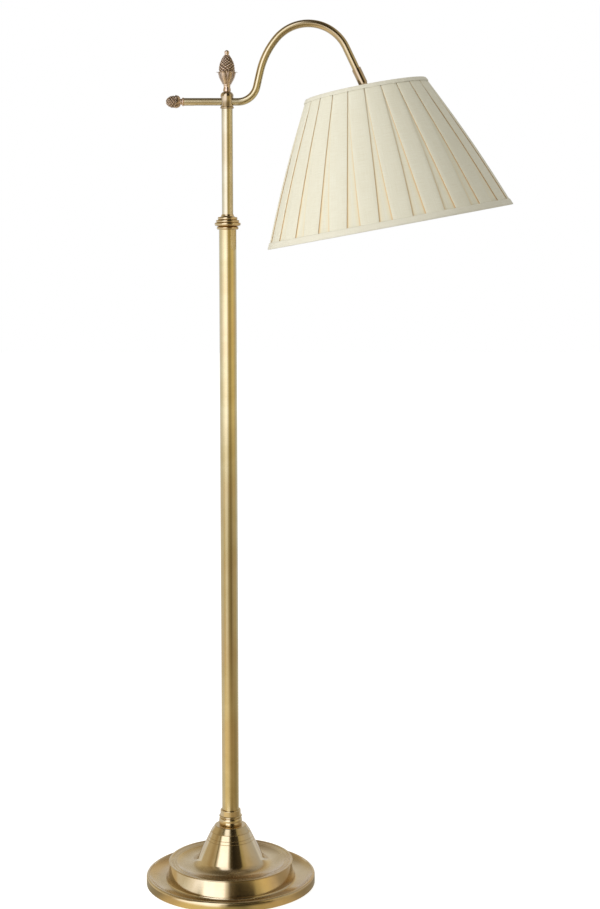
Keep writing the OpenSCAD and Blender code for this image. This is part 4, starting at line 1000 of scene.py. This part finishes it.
def make_spider():
    """The fitting: a flat hub and bent wire arms up to the frame's top ring."""
    hub_z, hub_in, hub_out = SHADE_DROP - RINGS_DROP - 1, SKIRT_R + 0.55, SHADE_RING_R - 1
    out = wall_r(RING_INSET) - WIRE_BACK - RING_WIRE - 0.1
    hub = [(hub_in, hub_z - 1), (hub_out, hub_z - 1), (hub_out, hub_z + 1), (hub_in, hub_z + 1)]
    shape = Shape().lathe(hub, 72)
    end = Vector((out, 0, -RING_INSET))
    high, low = end - Vector((12, 0, 0)), Vector((SHADE_RING_R + 4, 0, hub_z))
    slope, flat = (high - low).normalized(), Vector((2, 0, 0))
    line = [Vector((SHADE_RING_R - 2, 0, hub_z)), low - flat]
    line += [low + slope * 2 * k - flat * (1 - k) for k in (0.35, 0.7, 1.0)]
    line += [low + (high - low) * k for k in (0.3, 0.6, 0.85)]
    line += [high - slope * 2.5, high - Vector((0, 0, 0.5)), high + Vector((2.5, 0, 0)), end]
    for i in range(SPIDER_ARMS):
        turn = Matrix.Rotation(rad(30 + 360 * i / SPIDER_ARMS), 4, "Z")
        shape.sweep([turn @ p for p in line], SPIDER_WIRE * 0.98, 16)
    shape.build("wire_spider", "shade_spider", "shade", place=SHADE_PLACE)


# Shade cloth

def pleat_section(t, wander):
    """One pleat's cloth from the middle of the gap before it to the middle of the gap after it.

    Each point is (length along the shade's circle, height above the gap's cloth, length along the cloth,
    relief mark).
    The cloth's material turns the mark into painted shade where it is near 0, in a fold's shadow, and into
    painted light on the gaps' cloth and the folds' edges, where it is below 0.93.
    """
    pitch = 2 * pi * cover_r(SHADE_H * t) / PLEATS
    share = TOP_SHARE + (BOTTOM_SHARE - TOP_SHARE) * t
    tuck = (CLOTH_PER_PLEAT - pitch) / 4
    low, mid, high = 0.0, PLEAT_DEPTH * 0.42, PLEAT_DEPTH * 0.86
    fold = (high - mid) / 2

    def side(sign, shift):
        edge = pitch * share / 2 + shift
        inner = max(edge - tuck, 0.4)
        points = [(pitch / 2, low, 0.9), (edge + (pitch / 2 - edge) * 0.5, low - 0.12, 0.7)]
        points += [(edge + 0.15, low, 0.1), (inner, low, 0.0), (inner - fold, (low + mid) / 2, 0.0)]
        points += [(inner, mid, 0.0), (edge - fold, mid, 0.1)]
        points += [(edge - fold + fold * sin(rad(b)), mid + fold - fold * cos(rad(b)), mark)
                   for b, mark in ((45, 0.2), (90, 0.4), (135, 0.75))]
        points += [(edge - fold * 1.2, high, 0.95), (edge * 0.6, high + 0.16, 1.0)]
        return [(sign * u, h, mark) for u, h, mark in points]

    left, right = side(-1, wander[0] * t), side(1, wander[1] * t)
    line = left + [(0, high + 0.22, 1.0)] + right[::-1]
    lengths = [0.0]
    for a, b in zip(line, line[1:]):
        lengths.append(lengths[-1] + hypot(b[0] - a[0], b[1] - a[1]))
    return [(u, h, w, mark) for (u, h, mark), w in zip(line, lengths)]


def make_cover():
    """The box-pleated cover, folded from one strip: every pleat's returns lie under its face."""
    rng = random.Random(7)
    wander = [(rng.uniform(-1.1, 1.1), rng.uniform(-1.1, 1.1)) for _ in range(PLEATS)]
    bow = [rng.uniform(-0.9, 0.9) for _ in range(PLEATS)]
    slant = hypot(SHADE_H, BOTTOM_R - TOP_R) * MM
    stations, short, bow_share = 28, 0.2, 0.6
    rows, marks, places = [], [], []
    for t in steps(0, 1, stations):
        s = short + (SHADE_H - 2 * short) * t
        row, mark, place = [], [], []
        for i in range(PLEATS):
            middle = rad(360 * i / PLEATS + PLEAT_TURN)
            # shadow is the relief mark that the cloth's material turns into painted shade and painted light
            for u, h, w, shadow in pleat_section(t, wander[i])[:-1]:
                a = middle + (u + bow[i] * sin(pi * t) * bow_share) / cover_r(s)
                row.append(polar(cover_r(s) - PLEAT_DEPTH + h, a, -s))
                mark.append(shadow)
                place.append(((i * CLOTH_PER_PLEAT + w) * MM, s / SHADE_H * slant))
        rows.append(row)
        marks.append(mark)
        places.append(place + [(PLEATS * CLOTH_PER_PLEAT * MM, s / SHADE_H * slant)])

    cover = Shape().grid(rows, relief=marks, uv=lambda k, j: places[k][j]).build(
        "pleated_cover", "shade_cover", "shade", "pleated_cloth", place=SHADE_PLACE, sharp=180)
    thick = cover.modifiers.new("cloth", "SOLIDIFY")
    thick.thickness, thick.offset = 0.0003, 0


def make_lining():
    """The plain lining inside the frame, with the seams where it is sewn to the struts."""
    top, low = RING_INSET + SPIDER_WIRE + 1.4, SHADE_H - 0.4
    stations, segments, seams, seam_depth, mean_r = 12, 144, 6, 0.25, 150

    def wall(back):
        return [[polar(wall_r(s) - back - seam_depth * cos(seams * a), a, -s) for a in circle(segments)]
                for s in steps(top, low, stations)]

    rows = wall(LINING_BACK) + wall(LINING_BACK + LINING_T * 0.6)[::-1]
    depths = steps(top, low, stations)
    depths += depths[::-1] + depths[:1]

    def uv(k, j):
        return (2 * pi * mean_r * j / segments * MM, depths[k] * MM)

    lining = Shape().grid(rows, loop=True, uv=uv).build(
        "sewn_lining", "shade_lining", "shade", "lining_cloth", place=SHADE_PLACE, sharp=60)


def binding_outline(edge, side, width):
    """The folded tape's outline; side is 1 at the top edge and -1 at the bottom edge."""
    in_r, lift = LINING_BACK + LINING_T + 0.2, 0.3
    outer, inner = edge + side * width, edge + side * min(RING_INSET - RING_WIRE - 0.7, width)
    flat, edge_r, inner_r = edge - side * 0.7, wall_r(edge), wall_r(inner) - in_r
    outline = [(cover_r(outer) + lift, -outer), (cover_r(outer) + lift + TRIM_T * 0.55, -outer - side * 0.05)]
    outline += [(cover_r(outer - side) + lift + TRIM_T * 0.95, -outer + side * 1.1)]
    outline += [(cover_r(outer - side * part) + lift + 0.05 + TRIM_T, -outer + side * part)
                for part in (width * 0.38, width * 0.7)]
    outline += [(edge_r + lift + TRIM_T, -edge - side * 0.6), (edge_r + 0.9, -edge + side * 0.1)]
    outline += [(edge_r + 0.1, -flat - side * 0.1), (edge_r - in_r * 0.5, -flat)]
    outline += [(edge_r - in_r - 0.2, -flat - side * 0.1), (inner_r - 0.8, -edge - side * 0.7)]
    outline += [(inner_r - 0.8, -inner), (inner_r, -inner)]
    return outline + [(edge_r - in_r, -edge + side * 0.1), (edge_r + lift, -edge + side * 0.1)]


def make_bindings():
    """The tapes folded over the shade's two edges, with a slight waviness."""
    rng = random.Random(3)
    waves = [(rng.randint(5, 40), rng.uniform(0, 6.28), rng.uniform(0.02, 0.07)) for _ in range(9)]

    def ripple(a, r, z):
        return r + sum(size * sin(count * a + start) for count, start, size in waves), z

    for name, edge, side, width in (("top", 0, 1, TOP_TRIM_W), ("bottom", SHADE_H, -1, TRIM_W)):
        outline = binding_outline(edge, side, width)
        tape = Shape().lathe(outline, 288, ripple).build(
            "binding_" + name, "shade_%s_trim" % name, "shade", "binding_cloth", place=SHADE_PLACE, sharp=75)


def make_bulb():
    """The pearl glass, a thin shell from the bulb's cap round to its tip."""
    top = SKIRT_END + 1
    centre = top + BULB_LEN - BULB_R
    neck = [(BULB_CAP_R + 0.6, -top), (BULB_CAP_R + 1, -top - 6)]
    outer = neck + arc(0, -centre, BULB_R, 36, -86, 28)
    inner = [(r - GLASS, z) for r, z in neck] + arc(0, -centre, BULB_R - GLASS, 36, -86, 28)
    glass = [(0, -centre - BULB_R)] + outer[::-1] + inner + [(0, -centre - BULB_R + GLASS)]
    Shape().lathe(glass, 64).build(
        "pearl_bulb", "bulb_glass", "shade", "bulb_glass", place=HOLDER_PLACE, sharp=60)


def dress_cad_nodes():
    """Gives every node that still shows a procedural material of its record's slot."""
    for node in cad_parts.values():
        for slot in node.material_slots:
            if slot.material:
                slot.material = MATERIALS[SLOT_FINISH[slot.material.name.split(".")[0]]]
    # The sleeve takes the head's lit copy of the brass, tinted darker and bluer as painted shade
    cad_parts["arm_sleeve"].material_slots[0].material = MATERIALS["head_brass"]


bpy.context.scene.view_settings.view_transform = "Standard"
make_camera()
make_world()
make_floor()
make_lamp("key", (-2.4, -2.1, 1.5), (0.15, 0, 1.2), size=1.6, power=57, colour=(1.0, 0.99, 0.965))
make_lamp("fill", (2.4, -1.6, 1.5), (0.1, 0, 1.0), size=1.6, power=1.5)
MATERIALS = make_materials()
dress_cad_nodes()
for make_piece in (
        make_base_cover, make_grommet, make_foot_collar, make_tubes, make_ferrule, make_clamp_cap, make_head,
        make_clamp_finial, make_arm, make_end_finial, make_knuckle, make_holder_cap, make_skirt,
        make_shade_rings, make_spider, make_lining, make_cover, make_bindings, make_bulb):
    make_piece()
